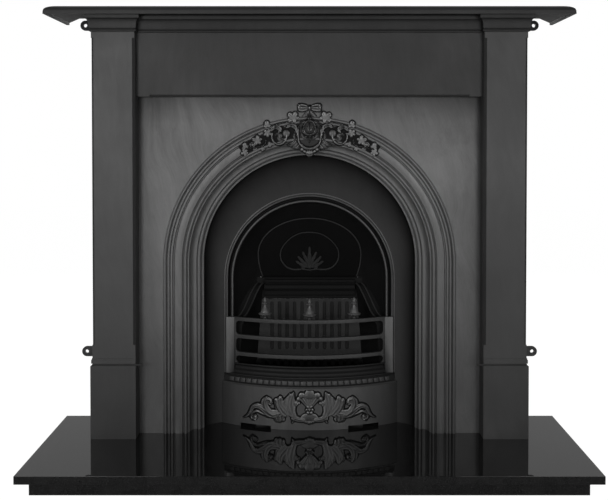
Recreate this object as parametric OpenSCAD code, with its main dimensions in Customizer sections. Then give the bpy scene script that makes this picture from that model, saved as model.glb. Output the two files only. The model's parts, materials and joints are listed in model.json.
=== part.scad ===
// Cast iron fireplace: a mantel of two legs, a frieze and a shelf stands round an arched insert with a
// fire basket, on a boxed granite hearth.
// X runs to the right, Y into the wall and Z up. The origin is the middle of the hearth's underside.
// Inside the modules a depth is measured forwards from the wall, and a height from the hearth's top.

/* [Hearth] */
// Length of the polished slab, side to side
slab_w = 1372; // [1300:1:1500]
// Depth of the slab, wall to front edge
slab_d = 381; // [360:1:460]
// Thickness of the slab
slab_t = 20; // [15:1:30]
// Height of the box under the slab
box_h = 37; // [25:1:80]
// How far the box stands back from the slab's edges
box_inset = 26; // [10:1:40]
// Thickness of the riser strips
riser_t = 20; // [12:1:30]

/* [Legs] */
// Width across the two leg shafts
mantel_w = 1128; // [1120:1:1160]
// Clear width between the legs
between_legs = 904; // [900:2:910]
// Depth of the legs, wall to front face
leg_d = 166; // [160:1:200]
// Wall of the leg, frieze and shelf castings
iron_t = 7; // [6:0.5:8]
// Height of the leg's plinth
plinth_h = 190; // [150:1:220]
// How far the plinth stands out from the shaft
plinth_out = 6; // [3:0.5:8]
// Height of the band on top of the plinth
band_h = 21; // [16:1:30]
// Chamfer on the front edges of the shaft
leg_chamfer = 6; // [3:0.5:6]
// Height of the chamfer's lower stop above the band
chamfer_stop = 35; // [20:1:150]

/* [Wall ears] */
// Distance between the left and right ear holes
ear_span = 1252; // [1240:2:1290]
// Height of the upper ear holes above the slab
ear_top_z = 1098; // [1080:1:1100]
// Height of the lower ear holes above the slab
ear_low_z = 184; // [40:1:185]
// Radius of an ear's screw hole
ear_hole_r = 5; // [3:0.5:6]
// Radius of an ear's round end
ear_r = 14; // [10:0.5:15]
// Thickness of an ear
ear_t = 6; // [4:0.5:10]

/* [Frieze and capital] */
// Depth of the frieze panel, wall to front face
frieze_d = 144; // [138:1:150]
// Height of the frieze's lower edge above the slab
frieze_foot = 892; // [880:1:910]
// Chamfer along the frieze's lower edge
frieze_chamfer = 5; // [2:0.5:6]
// How far the capital moulding stands out at its top
cap_out = 14.5; // [10:0.5:15]
// Height of the capital moulding under the shelf
cap_h = 42; // [36:1:60]

/* [Shelf] */
// Length of the shelf
shelf_w = 1360; // [1340:1:1480]
// Depth of the shelf
shelf_d = 190; // [185:1:260]
// Height of the shelf's top above the slab
shelf_top = 1126; // [1120:1:1160]
// Height of the shelf's moulded edge
shelf_edge_h = 26; // [22:0.5:30]
// Thickness of the shelf's top plate and lips
shelf_t = 8; // [6:0.5:9]

/* [Insert] */
// Depth of the face plate, wall to front face
face_d = 125; // [122:1:130]
// Thickness of the face plate
face_t = 8; // [6:0.5:9]
// Height of the face plate
face_h = 935; // [925:1:945]
// Height of the outer arch's centre above the slab
arch_z = 453; // [445:1:460]
// Height of the inner arch's centre above the slab
ring_z = 398; // [390:1:405]
// Radius of the reveal where it meets the arch moulding
reveal_r = 285; // [284:0.5:290]
// Depth at which the reveal starts
reveal_d = 81; // [80:0.5:82]
// Radius of the reveal where it meets the inner ring
ring_r = 235; // [232:0.5:240]
// Depth of the reveal's inner edge
ring_d = 47; // [45:0.5:48]
// Wall of the reveal
reveal_t = 8; // [6:0.5:10]
// Radius of the opening inside the inner ring
mouth_r = 208; // [206:0.5:210]

/* [Firebox] */
// Depth of the fireback's face behind the wall
back_y = 40; // [38:1:60]
// Thickness of the fireback
back_t = 12; // [10:1:20]
// Height of the fireback's top
back_top = 322; // [310:1:326]
// Half width between the cheeks at the back, at the slab's level
cheek_back_x = 162.5; // [158:0.5:165]
// Half width between the cheeks at the front, at the slab's level
cheek_front_x = 208; // [200:0.5:210]
// Lean of the cheeks towards each other, in degrees
cheek_lean = 4.6; // [3:0.1:5]
// How far the cheeks' top moulding stands in over the fire
cheek_rim = 3; // [2:0.5:4]
// Number of flutes on the fireback
flutes = 11; // [7:2:13]
// Width of a flute
flute_w = 10; // [6:0.5:12]
// Thickness of the grate
grate_t = 12; // [8:1:14]
// Distance between the middles of two grate bars
grate_pitch = 22; // [20:0.5:26]
// Width of a grate bar
grate_bar_w = 10; // [8:0.5:14]

/* [Lintel and damper] */
// Height of the lintel's underside
lintel_z = 333; // [330:1:336]
// Height of the lintel
lintel_h = 47; // [44:1:50]
// Radius of the damper's rod
rod_r = 4; // [3:0.5:5]
// Radial clearance of the rod in its ears
rod_fit = 0.08; // [0.02:0.01:0.1]
// Forward lean of the closed damper, in degrees
damper_lean = 8; // [5:0.5:10]
// Thickness of the damper plate
damper_t = 6; // [4:0.5:8]
// Half the greatest width of the throat
throat_a = 148; // [144:1:150]
// Height of the throat above its widest place
throat_top = 106; // [100:1:110]

/* [Front bars and apron] */
// Radius of the apron's bow, seen from above
bow_r = 526; // [500:1:560]
// Depth of the apron's front at its middle
apron_d = 109; // [106:1:112]
// Height of the apron
apron_h = 111.5; // [100:0.5:115]
// Thickness of the apron
apron_t = 8; // [6:0.5:10]
// How far the bars are set back from the apron
bars_back = 12; // [10:0.5:14]
// Thickness of the bars, front to back
bars_t = 10; // [8:0.5:12]
// Height of the bars' top above the slab
bars_top = 293; // [288:1:296]
// Height of one bar
bar_h = 9.5; // [8:0.5:12]
// Height of the middle bar's underside
middle_bar_z = 236; // [228:1:244]
// Height of the lower bar's underside
lower_bar_z = 188; // [182:1:196]
// Height of the bottom ring's underside
ring_foot = 138; // [134:1:140]
// Half the distance between the end plates
bars_half = 207; // [204:0.5:207.5]
// Width of an end plate
end_plate_w = 23; // [20:0.5:24]
// Distance between two finials
finial_pitch = 121; // [100:1:150]
// Width of an air slot at the apron's foot
air_slot_w = 84; // [60:1:90]
// Height of an air slot
air_slot_h = 9; // [6:0.5:14]
// Distance of an air slot's middle from the apron's middle
air_slot_x = 146; // [130:1:150]
// Distance between the middles of two dentils
dentil_pitch = 17; // [14:0.5:24]
// Number of dentils
dentils = 27; // [15:2:27]

/* [Ash pan] */
// Width of the ash pan
pan_w = 290; // [200:2:296]
// Length of the ash pan, front to back
pan_l = 104; // [70:1:108]
// Height of the ash pan
pan_h = 70; // [40:1:90]
// Wall of the ash pan
pan_t = 2; // [1.5:0.1:3]

/* [Fixings] */
// Radius of the bolts' shanks
bolt_r = 4; // [3:0.5:5]
// Radial clearance of a bolt in its hole
bolt_fit = 0.4; // [0.2:0.1:0.5]
// Gap between castings that stand side by side
cast_gap = 0.5; // [0.3:0.1:0.6]

/* [Hidden] */
$fn = 96;

IRON = [0.27, 0.27, 0.28];
DARK_IRON = [0.14, 0.14, 0.145];
GRANITE = [0.1, 0.1, 0.105];
CONCRETE = [0.6, 0.59, 0.56];
STEEL = [0.5, 0.5, 0.52];

// Hearth and the reach of the cutters
hearth_h = slab_t + box_h;
box_w = slab_w - 2 * box_inset;
box_d = slab_d - box_inset;
wall_y = box_d / 2;
far = 400;

// Mantel
leg_out = mantel_w / 2;
leg_in = between_legs / 2;
cap_top = shelf_top - shelf_t;
lip_foot = shelf_top - shelf_edge_h;
cap_foot = lip_foot - cap_h;
cap_cove_foot = cap_foot + 10;
cap_cove_top = lip_foot - 10;
neck_d = leg_d - 20;
face_half = leg_in - cast_gap;
fix_flange_w = 20;
fix_flange_d = face_d - face_t - cast_gap;

// Bolts of the mantel
seat_gap = 0.3;
shank_head_t = 5;
shank_head_r = bolt_r + 3;
frieze_bolt_d = frieze_d - 40;
frieze_bolt_heights = [face_h + 30, cap_foot - 30];
insert_bolt_x = leg_in - fix_flange_w / 2;
insert_bolt_heights = [120, 480, 840];
shelf_bolt_d = leg_d / 2;
shelf_bolt_xs = [-(leg_in + leg_out) / 2, -leg_in / 2, leg_in / 2, (leg_in + leg_out) / 2];

// Inner ring and its bolts
ring_front = ring_d - 4;
ring_back = ring_front - 11;
bow_reach = ring_r + 10;
ring_bolt_angles = [15, 55, 125, 165];
ring_bolt_heights = [60, 250];
ring_bolt_r = ring_r + 9;
ring_bolt_end = ring_d - reveal_t + 4;
ledge_bolt_x = (mouth_r + ring_r) / 2;
ledge_bolt_z = ring_foot - 16;
ledge_bolt_end = ring_front + 5;
rear_flange_t = 6;

// Lintel and damper
lintel_plate_t = 10;
lintel_top = lintel_z + lintel_h;
hinge_y = back_y + lintel_plate_t + 10;
hinge_z = lintel_top - 12;
barrel_r = rod_r + 4;
damper_ear_x = 106;
throat_mid = 85;
throat_low = 165;
damper_face = 5;
damper_foot = barrel_r + 3;

// Cheeks, fireback and grate
cheek_front_d = ring_back;
cheek_t = 7;
cheek_flange_w = 20;
hood_r = mouth_r + 5;
ogee_foot = bars_top - 5;
ogee_top = lintel_top - 12;
grate_foot = ring_foot;
grate_bars = 13;
firebox_half = cheek_back_x + cheek_flange_w + 2;
firebox_bolt_heights = [60, back_top - 30];
firebox_bolt_end = 4 - back_y;
lintel_bolt_z = lintel_z + 8;
lintel_half = cheek_x(lintel_top) - cheek_rim - cast_gap;
lintel_back_half = cheek_x(lintel_z) + cheek_flange_w;
grate_room = 5;
flute_pitch = 21.5;
flute_foot = grate_foot + 44;
flute_top = back_top - 12;

// Front bars
bow_axis = apron_d - bow_r;
bars_r = bow_r - bars_back;
grate_r = bars_r - bars_t - 6;
ring_top = ring_foot + 30;
bar_feet = [lower_bar_z, middle_bar_z, bars_top - bar_h];
high_hook_z = bars_top - 43;
low_hook_z = ring_top + 7;
bars_lift = 30;
hook_x = ring_r - 13.5;
hook_w = 4;
hook_h = 8;
hook_heights = [low_hook_z, high_hook_z];
finial_h = 60;

// Dentil ledge and ash pan
ledge_foot = apron_h + cast_gap;
dentil_size = 11;
slope_top = [bow_r - 8, ledge_foot + 18.5];
slope_foot = [bow_r, ledge_foot + 5];
slope_lean = atan((slope_foot[0] - slope_top[0]) / (slope_top[1] - slope_foot[1]));
pan_front = apron_d - apron_t - 26;

// Puts a piece that is drawn from the wall and the slab's top into the part's own frame.
module at_wall() translate([0, wall_y, hearth_h]) children();

module both_sides() for (side = [0, 1]) mirror([side, 0, 0]) children();

// A block from x0 to x1, from depth d0 to d1 and from height z0 to z1.
module block(x0, x1, d0, d1, z0, z1) translate([x0, -d1, z0]) cube([x1 - x0, d1 - d0, z1 - z0]);

// A front outline, in X and height, drawn through the depths d0 to d1.
module from_front(d0, d1) translate([0, -d0, 0]) rotate([90, 0, 0]) linear_extrude(d1 - d0) children();

// A side outline, in depth and height, drawn from x0 to x1.
module from_side(x0, x1) translate([x0, 0, 0]) rotate([90, 0, 90]) linear_extrude(x1 - x0)
    mirror([1, 0, 0]) children();

// A plan outline, in X and depth, drawn from z0 to z1.
module from_above(z0, z1) translate([0, 0, z0]) linear_extrude(z1 - z0) mirror([0, 1, 0]) children();

// Sweeps a section, in radius and depth, up both jambs and round the arch.
module arch_run(centre_z, foot = 0) {
    translate([0, 0, centre_z]) rotate([90, 0, 0]) rotate_extrude(angle = 180) children();
    both_sides() from_above(foot, centre_z) children();
}

// The outline of an arch with straight jambs, in X and height.
module arch_shape(r, centre_z, foot = 0) {
    translate([0, centre_z]) circle(r);
    translate([-r, foot]) square([2 * r, centre_z - foot]);
}

// Sweeps a section, in radius and height, along the bow of the apron, out to x = half.
module bow_run(r, half) {
    a = asin(half / r);
    translate([0, -bow_axis, 0]) rotate([0, 0, -90 - a]) rotate_extrude(angle = 2 * a) children();
}

// A round bar along the depth, from d0 to d1.
module bar_y(r, d0, d1, x, z) translate([x, -d0, z]) rotate([90, 0, 0]) cylinder(h = d1 - d0, r = r);

// A round bar along X, from x0 to x1.
module bar_x(r, x0, x1, d, z) translate([x0, -d, z]) rotate([0, 90, 0]) cylinder(h = x1 - x0, r = r);

function arc(cx, cy, rx, ry, a0, a1, n) =
    [for (i = [0:n]) let (a = a0 + (a1 - a0) * i / n) [cx + rx * cos(a), cy + ry * sin(a)]];

// ---- hearth ----

module hearth_slab() color(GRANITE) translate([-slab_w / 2, wall_y - slab_d, box_h])
    cube([slab_w, slab_d, slab_t]);

module riser(x0, x1, y0, y1) color(GRANITE) translate([x0, y0, 0]) cube([x1 - x0, y1 - y0, box_h]);

module riser_front() riser(-box_w / 2, box_w / 2, -box_d / 2, -box_d / 2 + riser_t);
module riser_back() riser(-box_w / 2, box_w / 2, box_d / 2 - riser_t, box_d / 2);
module riser_left() riser(-box_w / 2, -box_w / 2 + riser_t, -box_d / 2 + riser_t, box_d / 2 - riser_t);
module riser_right() mirror([1, 0, 0]) riser_left();

module hearth_bed() color(CONCRETE) translate([riser_t - box_w / 2, riser_t - box_d / 2, 0])
    cube([box_w - 2 * riser_t, box_d - 2 * riser_t, box_h]);

// ---- mantel ----

// How far the capital moulding stands out, with the height, from its foot to the top of the leg.
cap_profile = concat(
    [[0, cap_foot]],
    arc(2, cap_foot + 3.5, 3.5, 3.5, -80, 80, 6),
    [[3, cap_foot + 7.5], [4.5, cap_cove_foot]],
    arc(cap_out - 2.5, cap_cove_foot, cap_out - 7, cap_cove_top - cap_cove_foot, 180, 90, 6),
    [[cap_out, cap_cove_top + 1.5], [cap_out, lip_foot]]
);

function shifted(points, side, base) = [for (p = points) [base + side * p[0], p[1]]];
function backwards(points) = [for (i = [len(points) - 1:-1:0]) points[i]];

// The capital's outline above the shaft: both flanks carry the moulding.
module cap_front() polygon(concat(
    shifted(cap_profile, 1, leg_out), backwards(shifted(cap_profile, -1, leg_in))));
module cap_side(base) polygon(concat([[0, lip_foot], [0, cap_foot]], shifted(cap_profile, 1, base)));

module ear(z) difference() {
    union() {
        block(leg_out - iron_t, ear_span / 2, 0, ear_t, z - ear_r, z + ear_r);
        bar_y(ear_r, 0, ear_t, ear_span / 2, z);
    }
    bar_y(ear_hole_r, -1, ear_t + 1, ear_span / 2, z);
}

// A stopped chamfer's cutter along a vertical front edge at x, on the side given.
module edge_cut(x, side) from_above(plinth_h + band_h + chamfer_stop, cap_foot - 16) polygon([
    [x + side, leg_d - leg_chamfer], [x + side, leg_d + 1], [x - side * leg_chamfer, leg_d + 1],
    [x - side * leg_chamfer, leg_d], [x, leg_d - leg_chamfer]]);

module leg() color(IRON) difference() {
    union() {
        block(leg_in, leg_out, 0, leg_d, 0, lip_foot);
        block(leg_in, leg_out, 0, neck_d, lip_foot - 1, cap_top);
        intersection() {
            from_front(0, leg_d + cap_out) cap_front();
            from_side(leg_in - cap_out, leg_out + cap_out) cap_side(leg_d);
        }
        block(leg_in, leg_out + plinth_out, 0, leg_d, 0, plinth_h);
        block(leg_in, leg_out + 3, 0, leg_d + 2, plinth_h + 8, plinth_h + band_h - 4);
        block(leg_in, leg_out + 1.5, 0, leg_d + 1, plinth_h + 8, plinth_h + band_h);
        block(leg_in - fix_flange_w, leg_in + iron_t, fix_flange_d - iron_t, fix_flange_d, 0, face_h - 10);
        ear(ear_low_z);
        ear(ear_top_z);
    }
    block(leg_in + iron_t, leg_out - iron_t, -1, leg_d - iron_t, -1, lip_foot - iron_t);
    block(leg_in + iron_t, leg_out - iron_t, -1, neck_d - iron_t, cap_foot, cap_top - iron_t);
    edge_cut(leg_out, 1);
    edge_cut(leg_in, -1);
    for (z = frieze_bolt_heights) bar_x(bolt_r + bolt_fit, leg_in - 1, leg_in + iron_t + 1, frieze_bolt_d, z);
    for (z = insert_bolt_heights)
        bar_y(bolt_r + bolt_fit, fix_flange_d - iron_t - 1, fix_flange_d + 1, insert_bolt_x, z);
    bar_z(bolt_r + bolt_fit, (leg_in + leg_out) / 2, shelf_bolt_d, cap_top - iron_t - 1, cap_top + 1);
}

module bar_z(r, x, d, z0, z1) translate([x, -d, z0]) cylinder(h = z1 - z0, r = r);

module left_leg() at_wall() mirror([1, 0, 0]) leg();
module right_leg() at_wall() leg();

module frieze() at_wall() color(IRON) difference() {
    intersection() {
        union() {
            block(-leg_in, leg_in, 0, frieze_d, frieze_foot, cap_top);
            from_side(-leg_in, leg_in) cap_side(frieze_d);
        }
        from_front(0, leg_d) polygon(concat(
            [[-leg_in + cast_gap, frieze_foot]],
            shifted(cap_profile, 1, -leg_in + cast_gap),
            [[-leg_in + cast_gap, lip_foot], [-leg_in + cast_gap, cap_top]],
            [[leg_in - cast_gap, cap_top], [leg_in - cast_gap, lip_foot]],
            backwards(shifted(cap_profile, -1, leg_in - cast_gap)),
            [[leg_in - cast_gap, frieze_foot]]));
    }
    block(-leg_in + iron_t + cast_gap, leg_in - iron_t - cast_gap, -1, frieze_d - iron_t,
        frieze_foot + iron_t, cap_foot);
    block(-leg_in + iron_t + cap_out, leg_in - iron_t - cap_out, -1, frieze_d - iron_t,
        cap_foot - 1, cap_top - iron_t);
    block(-leg_in - 1, leg_in + 1, -1, face_d + cast_gap, frieze_foot - 1, frieze_foot + iron_t + 1);
    block(-leg_in - 1, leg_in + 1, -1, frieze_d - iron_t, frieze_foot + iron_t, face_h + 8);
    from_side(-leg_in + 34, leg_in - 34) polygon([
        [frieze_d + 1, frieze_foot - 1], [frieze_d + 1, frieze_foot + frieze_chamfer],
        [frieze_d, frieze_foot + frieze_chamfer], [frieze_d - frieze_chamfer, frieze_foot],
        [frieze_d - frieze_chamfer, frieze_foot - 1]]);
    both_sides() for (z = frieze_bolt_heights)
        bar_x(bolt_r + bolt_fit, leg_in - iron_t - 2, leg_in + 1, frieze_bolt_d, z);
    for (side = [-1, 1])
        bar_z(bolt_r + bolt_fit, side * leg_in / 2, shelf_bolt_d, cap_top - iron_t - 1, cap_top + 1);
}

// The shelf's edge, in distance from the end and height: a broad thumb moulding over a small quirk.
module shelf_outline(half, back) {
    t = shelf_edge_h;
    edge = concat([[0, 0], [0.5, t * 0.35]], arc(43, t * 0.35, 42, t * 0.62, 180, 90, 10), [[60, t]]);
    polygon(concat(
        [for (p = edge) [half - p[0], lip_foot + p[1]]],
        back ? [[0, shelf_top], [0, lip_foot]] : backwards([for (p = edge) [p[0] - half, lip_foot + p[1]]])));
}

// The hollow under the shelf, which follows the edge moulding at one wall's distance.
module shelf_hollow(half, back) {
    edge = [[shelf_t, -1], [shelf_t, shelf_edge_h * 0.23], [36, shelf_edge_h - shelf_t]];
    polygon(concat(
        [for (p = edge) [half - p[0], lip_foot + p[1]]],
        back ? [[-1, cap_top], [-1, lip_foot - 1]]
             : backwards([for (p = edge) [p[0] - half, lip_foot + p[1]]])));
}

module shelf() at_wall() color(IRON) difference() {
    intersection() {
        from_front(0, shelf_d) shelf_outline(shelf_w / 2, false);
        from_side(-shelf_w / 2, shelf_w / 2) shelf_outline(shelf_d, true);
    }
    intersection() {
        from_front(-1, shelf_d) shelf_hollow(shelf_w / 2, false);
        from_side(-shelf_w / 2, shelf_w / 2) shelf_hollow(shelf_d, true);
    }
    for (x = shelf_bolt_xs) bar_z(bolt_r + bolt_fit, x, shelf_bolt_d, cap_top - 1, cap_top + shelf_t - 2);
}

module shelf_bolts() at_wall() color(STEEL) for (x = shelf_bolt_xs) {
    bar_z(bolt_r, x, shelf_bolt_d, cap_top - iron_t, cap_top + shelf_t - 3);
    bar_z(shank_head_r, x, shelf_bolt_d, cap_top - iron_t - shank_head_t, cap_top - iron_t);
}

module frieze_bolts() at_wall() color(STEEL) both_sides() for (z = frieze_bolt_heights) {
    bar_x(bolt_r, leg_in - iron_t - cast_gap, leg_in + iron_t, frieze_bolt_d, z);
    bar_x(shank_head_r, leg_in - iron_t - cast_gap - shank_head_t, leg_in - iron_t - cast_gap,
        frieze_bolt_d, z);
    bar_x(shank_head_r, leg_in + iron_t, leg_in + iron_t + shank_head_t, frieze_bolt_d, z);
}

module insert_bolts() at_wall() color(STEEL) both_sides() for (z = insert_bolt_heights) {
    bar_y(bolt_r, fix_flange_d - iron_t, face_d - 3, insert_bolt_x, z);
    bar_y(shank_head_r, fix_flange_d - iron_t - shank_head_t, fix_flange_d - iron_t, insert_bolt_x, z);
}

// ---- insert ----

// Section of the arch moulding, in distance from the arch's axis and depth, from the outside in.
module arch_section() {
    f = face_d;
    r = reveal_r;
    back = f - face_t;
    polygon(concat(
        [[r + 102, back], [r + 102, f], [r + 100.5, f + 5]],
        [[r + 99, f + 6], [r + 93, f + 6], [r + 91.5, f + 3]],
        arc(r + 87, f + 3, 3.5, 3.5, 0, 180, 8),
        [[r + 82.5, f + 4], [r + 76, f + 4], [r + 75, f], [r + 72, f], [r + 71, f + 3]],
        [[r + 52, f + 3], [r + 51, f - 0.5], [r + 49, f - 0.5]],
        arc(r + 44, f - 0.5, 4.5, 6, 0, 180, 10),
        [[r + 38.5, f - 5], [r + 36, f - 5]],
        arc(r + 22, f - 5, 14, 20, 0, -90, 10),
        [[r + 21, f - 27], [r + 18, f - 27]],
        arc(r + 12, f - 31, 5.5, 6.5, 0, 180, 10),
        [[r + 5, f - 35], [r, f - 37], [r, reveal_d]],
        [[r + 20, reveal_d], [r + 33, f - 32], [r + 42, f - 24], [r + 43, back]]));
}

module face_plate() at_wall() color(IRON) difference() {
    union() {
        difference() {
            block(-face_half, face_half, face_d - face_t, face_d, 0, face_h);
            from_front(face_d - face_t - 1, face_d + 1) arch_shape(reveal_r + 90, arch_z, -1);
        }
        arch_run(arch_z) arch_section();
    }
    both_sides() for (z = insert_bolt_heights)
        bar_y(bolt_r + bolt_fit, face_d - face_t - 1, face_d - 2, insert_bolt_x, z);
}

// A leaf outline of the given length and width, with its stalk end at the origin and five lobes.
module leaf(length, width, lobes = 5) polygon([for (i = [0:40]) let (
        t = i / 40 * 360,
        pull = 1 - 0.16 * (1 - cos(t * lobes)) / 2)
    [length * (0.5 - 0.5 * cos(t) * pull), width / 2 * sin(t) * pull]]);

module scroll(r, w) difference() {
    circle(r);
    circle(r - w);
}

// Runs its children, drawn round the origin with up outwards, at an angle along the arch's band.
module on_band(angle, r, d0, d1) translate([0, 0, arch_z]) from_front(d0, d1)
    rotate([0, 0, -angle]) translate([0, r]) children();

module crown_ornament() at_wall() color(IRON) difference() {
    crown_relief(arch_z + reveal_r);
    arch_run(arch_z) arch_section();
}

module crown_relief(top) {
    from_front(face_d + 6, face_d + 18) {
        translate([0, top + 62]) shield();
        both_sides_2d() translate([9, top + 62]) rotate([0, 0, 20]) leaf(36, 26);
    }
    from_front(face_d, face_d + 12) {
        both_sides_2d() translate([2, top + 123]) rotate([0, 0, 8]) leaf(30, 20, 2);
        both_sides_2d() translate([3, top + 105]) rotate([0, 0, 62]) leaf(26, 9, 1);
        both_sides_2d() translate([26, top + 82]) rotate([0, 0, 35]) leaf(34, 30);
        translate([0, top + 122]) circle(7);
        both_sides_2d() translate([70, top + 52]) scroll(17, 7);
    }
    for (side = [-1, 1], i = [0:5])
        on_band(side * (15 + 4.3 * i), reveal_r + 61 - 1.5 * i, face_d + 2, face_d + 13 - i)
            rotate([0, 0, 40 + 70 * (i % 3)]) translate([-13, 0]) leaf(30 - 1.5 * i, 26 - 1.5 * i);
}

module both_sides_2d() for (side = [0, 1]) mirror([side, 0]) children();

// The shield: straight top corners drawn down to a rounded point.
module shield() polygon(concat(
    [[-30, 34], [-20, 40], [0, 34], [20, 40], [30, 34]], arc(0, 8, 34, 52, 0, -180, 16)));

module reveal() at_wall() color(IRON) difference() {
    hull() {
        from_front(reveal_d - 8, reveal_d) arch_shape(reveal_r + 15, arch_z);
        from_front(ring_d - reveal_t, ring_d - reveal_t + 1) arch_shape(ring_r + reveal_t + 8, ring_z);
    }
    hull() {
        from_front(reveal_d, reveal_d + 1) arch_shape(reveal_r, arch_z, -1);
        from_front(ring_d - 1, ring_d) arch_shape(ring_r, ring_z, -1);
    }
    from_front(0, ring_d) arch_shape(ring_r, ring_z, -1);
    ring_bolt_holes();
}

module ring_bolt_places() {
    for (a = ring_bolt_angles) translate([ring_bolt_r * cos(a), 0, ring_z + ring_bolt_r * sin(a)]) children();
    both_sides() for (z = ring_bolt_heights) translate([ring_bolt_r, 0, z]) children();
}

// The holes that the ring's bolts pass through, from the rear flanges forwards.
module ring_bolt_holes() {
    start = ring_back - rear_flange_t - 1;
    ring_bolt_places() bar_y(bolt_r + bolt_fit, start, ring_bolt_end + 0.5, 0, 0);
    both_sides() bar_y(bolt_r + bolt_fit, start, ledge_bolt_end + 0.5, ledge_bolt_x, ledge_bolt_z);
}

// Section of the inner ring: a flange behind the reveal and two beads round the opening.
module ring_section() {
    f = ring_front;
    polygon(concat(
        [[mouth_r, ring_back], [ring_r + 17, ring_back], [ring_r + 17, ring_d - reveal_t]],
        [[ring_r - cast_gap, ring_d - reveal_t], [ring_r - cast_gap, f], [ring_r - 4, f]],
        arc(ring_r - 7.5, f, 2.6, 3.6, 0, 180, 8),
        [[ring_r - 17, f]],
        arc(ring_r - 20.3, f, 1.8, 2.8, 0, 180, 6),
        [[mouth_r + 3, f - 1], [mouth_r, f - 4]]));
}

module inner_ring() at_wall() color(IRON) difference() {
    union() {
        arch_run(ring_z, ring_foot) ring_section();
        both_sides() {
            block(mouth_r, ring_r - cast_gap, ring_back, ring_front, 0, ring_foot);
            block(mouth_r, ring_r + 17, ring_back, ring_d - reveal_t, 0, ring_foot);
        }
    }
    both_sides() for (z = hook_heights) block(hook_x - hook_w / 2 - 1, hook_x + hook_w / 2 + 1,
        ring_back - 1, ring_front + 5, z - hook_h / 2 - 0.5, z + hook_h / 2 + bars_lift + 2);
    ring_bolt_holes();
}

module ring_bolt(end) {
    bar_y(bolt_r, ring_back - rear_flange_t, end, 0, 0);
    bar_y(shank_head_r, ring_back - rear_flange_t - shank_head_t, ring_back - rear_flange_t, 0, 0);
}

module ring_bolts() at_wall() color(STEEL) ring_bolt_places() ring_bolt(ring_bolt_end);
module ledge_bolts() at_wall() color(STEEL) both_sides()
    translate([ledge_bolt_x, 0, ledge_bolt_z]) ring_bolt(ledge_bolt_end);

// ---- hood, damper and firebox ----

// Height of the cheek's top at a depth: a reversed curve from the bars up to the lintel.
function ogee(d) = ogee_foot + (ogee_top - ogee_foot)
    * (1 - cos(180 * (cheek_front_d - d) / (cheek_front_d + back_y))) / 2;

ogee_steps = 14;
ogee_line = [for (i = [0:ogee_steps]) let (back = (cheek_front_d + back_y) * i / ogee_steps)
    [cheek_front_d - back, ogee(cheek_front_d - back)]];

// Half the room between the cheeks at a height and a depth.
function cheek_x(z, d = -back_y) = cheek_back_x - tan(cheek_lean) * z
    + (cheek_front_x - cheek_back_x) * (d + back_y) / (cheek_front_d + back_y);

// The outline of the throat, in X and distance above the damper's axis, made wider by grow.
module throat(grow = 0) polygon(concat(
    arc(0, throat_mid, throat_a + grow, throat_top + grow, 0, 180, 36),
    arc(0, throat_mid, throat_a + grow, throat_low + grow, 180 + 5, 180 + 31, 5),
    arc(0, throat_mid, throat_a + grow, throat_low + grow, 360 - 31, 360 - 5, 5)));

// Puts a piece drawn in the damper's own plane, with its axis at the origin, where it leans when closed.
module at_damper() translate([0, hinge_y, hinge_z]) rotate([damper_lean, 0, 0]) children();

module hood() at_wall() color(DARK_IRON) difference() {
    union() {
        hull() {
            from_front(ring_back - 7, ring_back - 6) arch_shape(hood_r + 7, ring_z, 250);
            at_damper() from_front(damper_face + 0.4, damper_face + 1) throat(7);
        }
        from_front(ring_back - rear_flange_t, ring_back) arch_shape(ring_r + 17, ring_z, ogee_foot);
    }
    ring_bolt_holes();
    hull() {
        from_front(ring_back - 7, ring_back + 1) arch_shape(hood_r, ring_z, 240);
        at_damper() from_front(damper_face, damper_face + 1) throat();
    }
    at_damper() from_front(-20, damper_face + 0.4) throat(30);
    from_side(-far, far) polygon(concat(
        [[far, 0], [far, ogee_foot + 0.4]], [for (p = ogee_line) [p[0], p[1] + 0.4]],
        [[0.4 - back_y, lintel_top + 4.4], [-far, lintel_top + 4.4], [-far, 0]]));
}

// A plan outline, at the slab's level, drawn up along the lean of the cheeks.
module leaning(points) rotate([0, -cheek_lean, 0]) from_above(-far / 8, far * 2)
    polygon([for (p = points) [p[0] * cos(cheek_lean), p[1]]]);

// The plan of a strip beside the cheek's inner face, from in to out of it.
module cheek_strip(in, out) leaning([
    [cheek_x(0, cheek_front_d) + in, cheek_front_d], [cheek_x(0, cheek_front_d) + out, cheek_front_d],
    [cheek_x(0) + out, -back_y], [cheek_x(0) + in, -back_y]]);

// The plan of the cheek's wall with its front and rear flanges.
module cheek_wall(front = ring_back - rear_flange_t, rear = rear_flange_t - back_y) leaning([
    [cheek_x(0, cheek_front_d), cheek_front_d], [ring_r + 41, cheek_front_d], [ring_r + 41, front],
    [cheek_x(0, front) + cheek_t, front], [cheek_x(0, rear) + cheek_t, rear],
    [cheek_x(0) + cheek_flange_w, rear], [cheek_x(0) + cheek_flange_w, -back_y], [cheek_x(0), -back_y]]);

// The strip under the cheek's curved top, down to a depth of h below it.
module ogee_strip(h) from_side(0, far)
    polygon(concat(ogee_line, backwards([for (p = ogee_line) [p[0], p[1] - h]])));

module cheek() color(IRON) difference() {
    union() {
        intersection() {
            cheek_wall();
            from_side(0, far) polygon(concat([[-back_y, 0], [cheek_front_d, 0]], ogee_line));
        }
        intersection() {
            cheek_strip(-cheek_rim, 1);
            ogee_strip(20);
        }
        intersection() {
            cheek_strip(1, 34);
            ogee_strip(6);
        }
        intersection() {
            cheek_strip(-12, 1);
            from_side(0, far) translate([-back_y, grate_foot - 8]) square([back_y, 8]);
        }
    }
    ring_bolt_holes();
    firebox_bolt_holes();
}

module left_cheek() at_wall() mirror([1, 0, 0]) cheek();
module right_cheek() at_wall() cheek();

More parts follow.
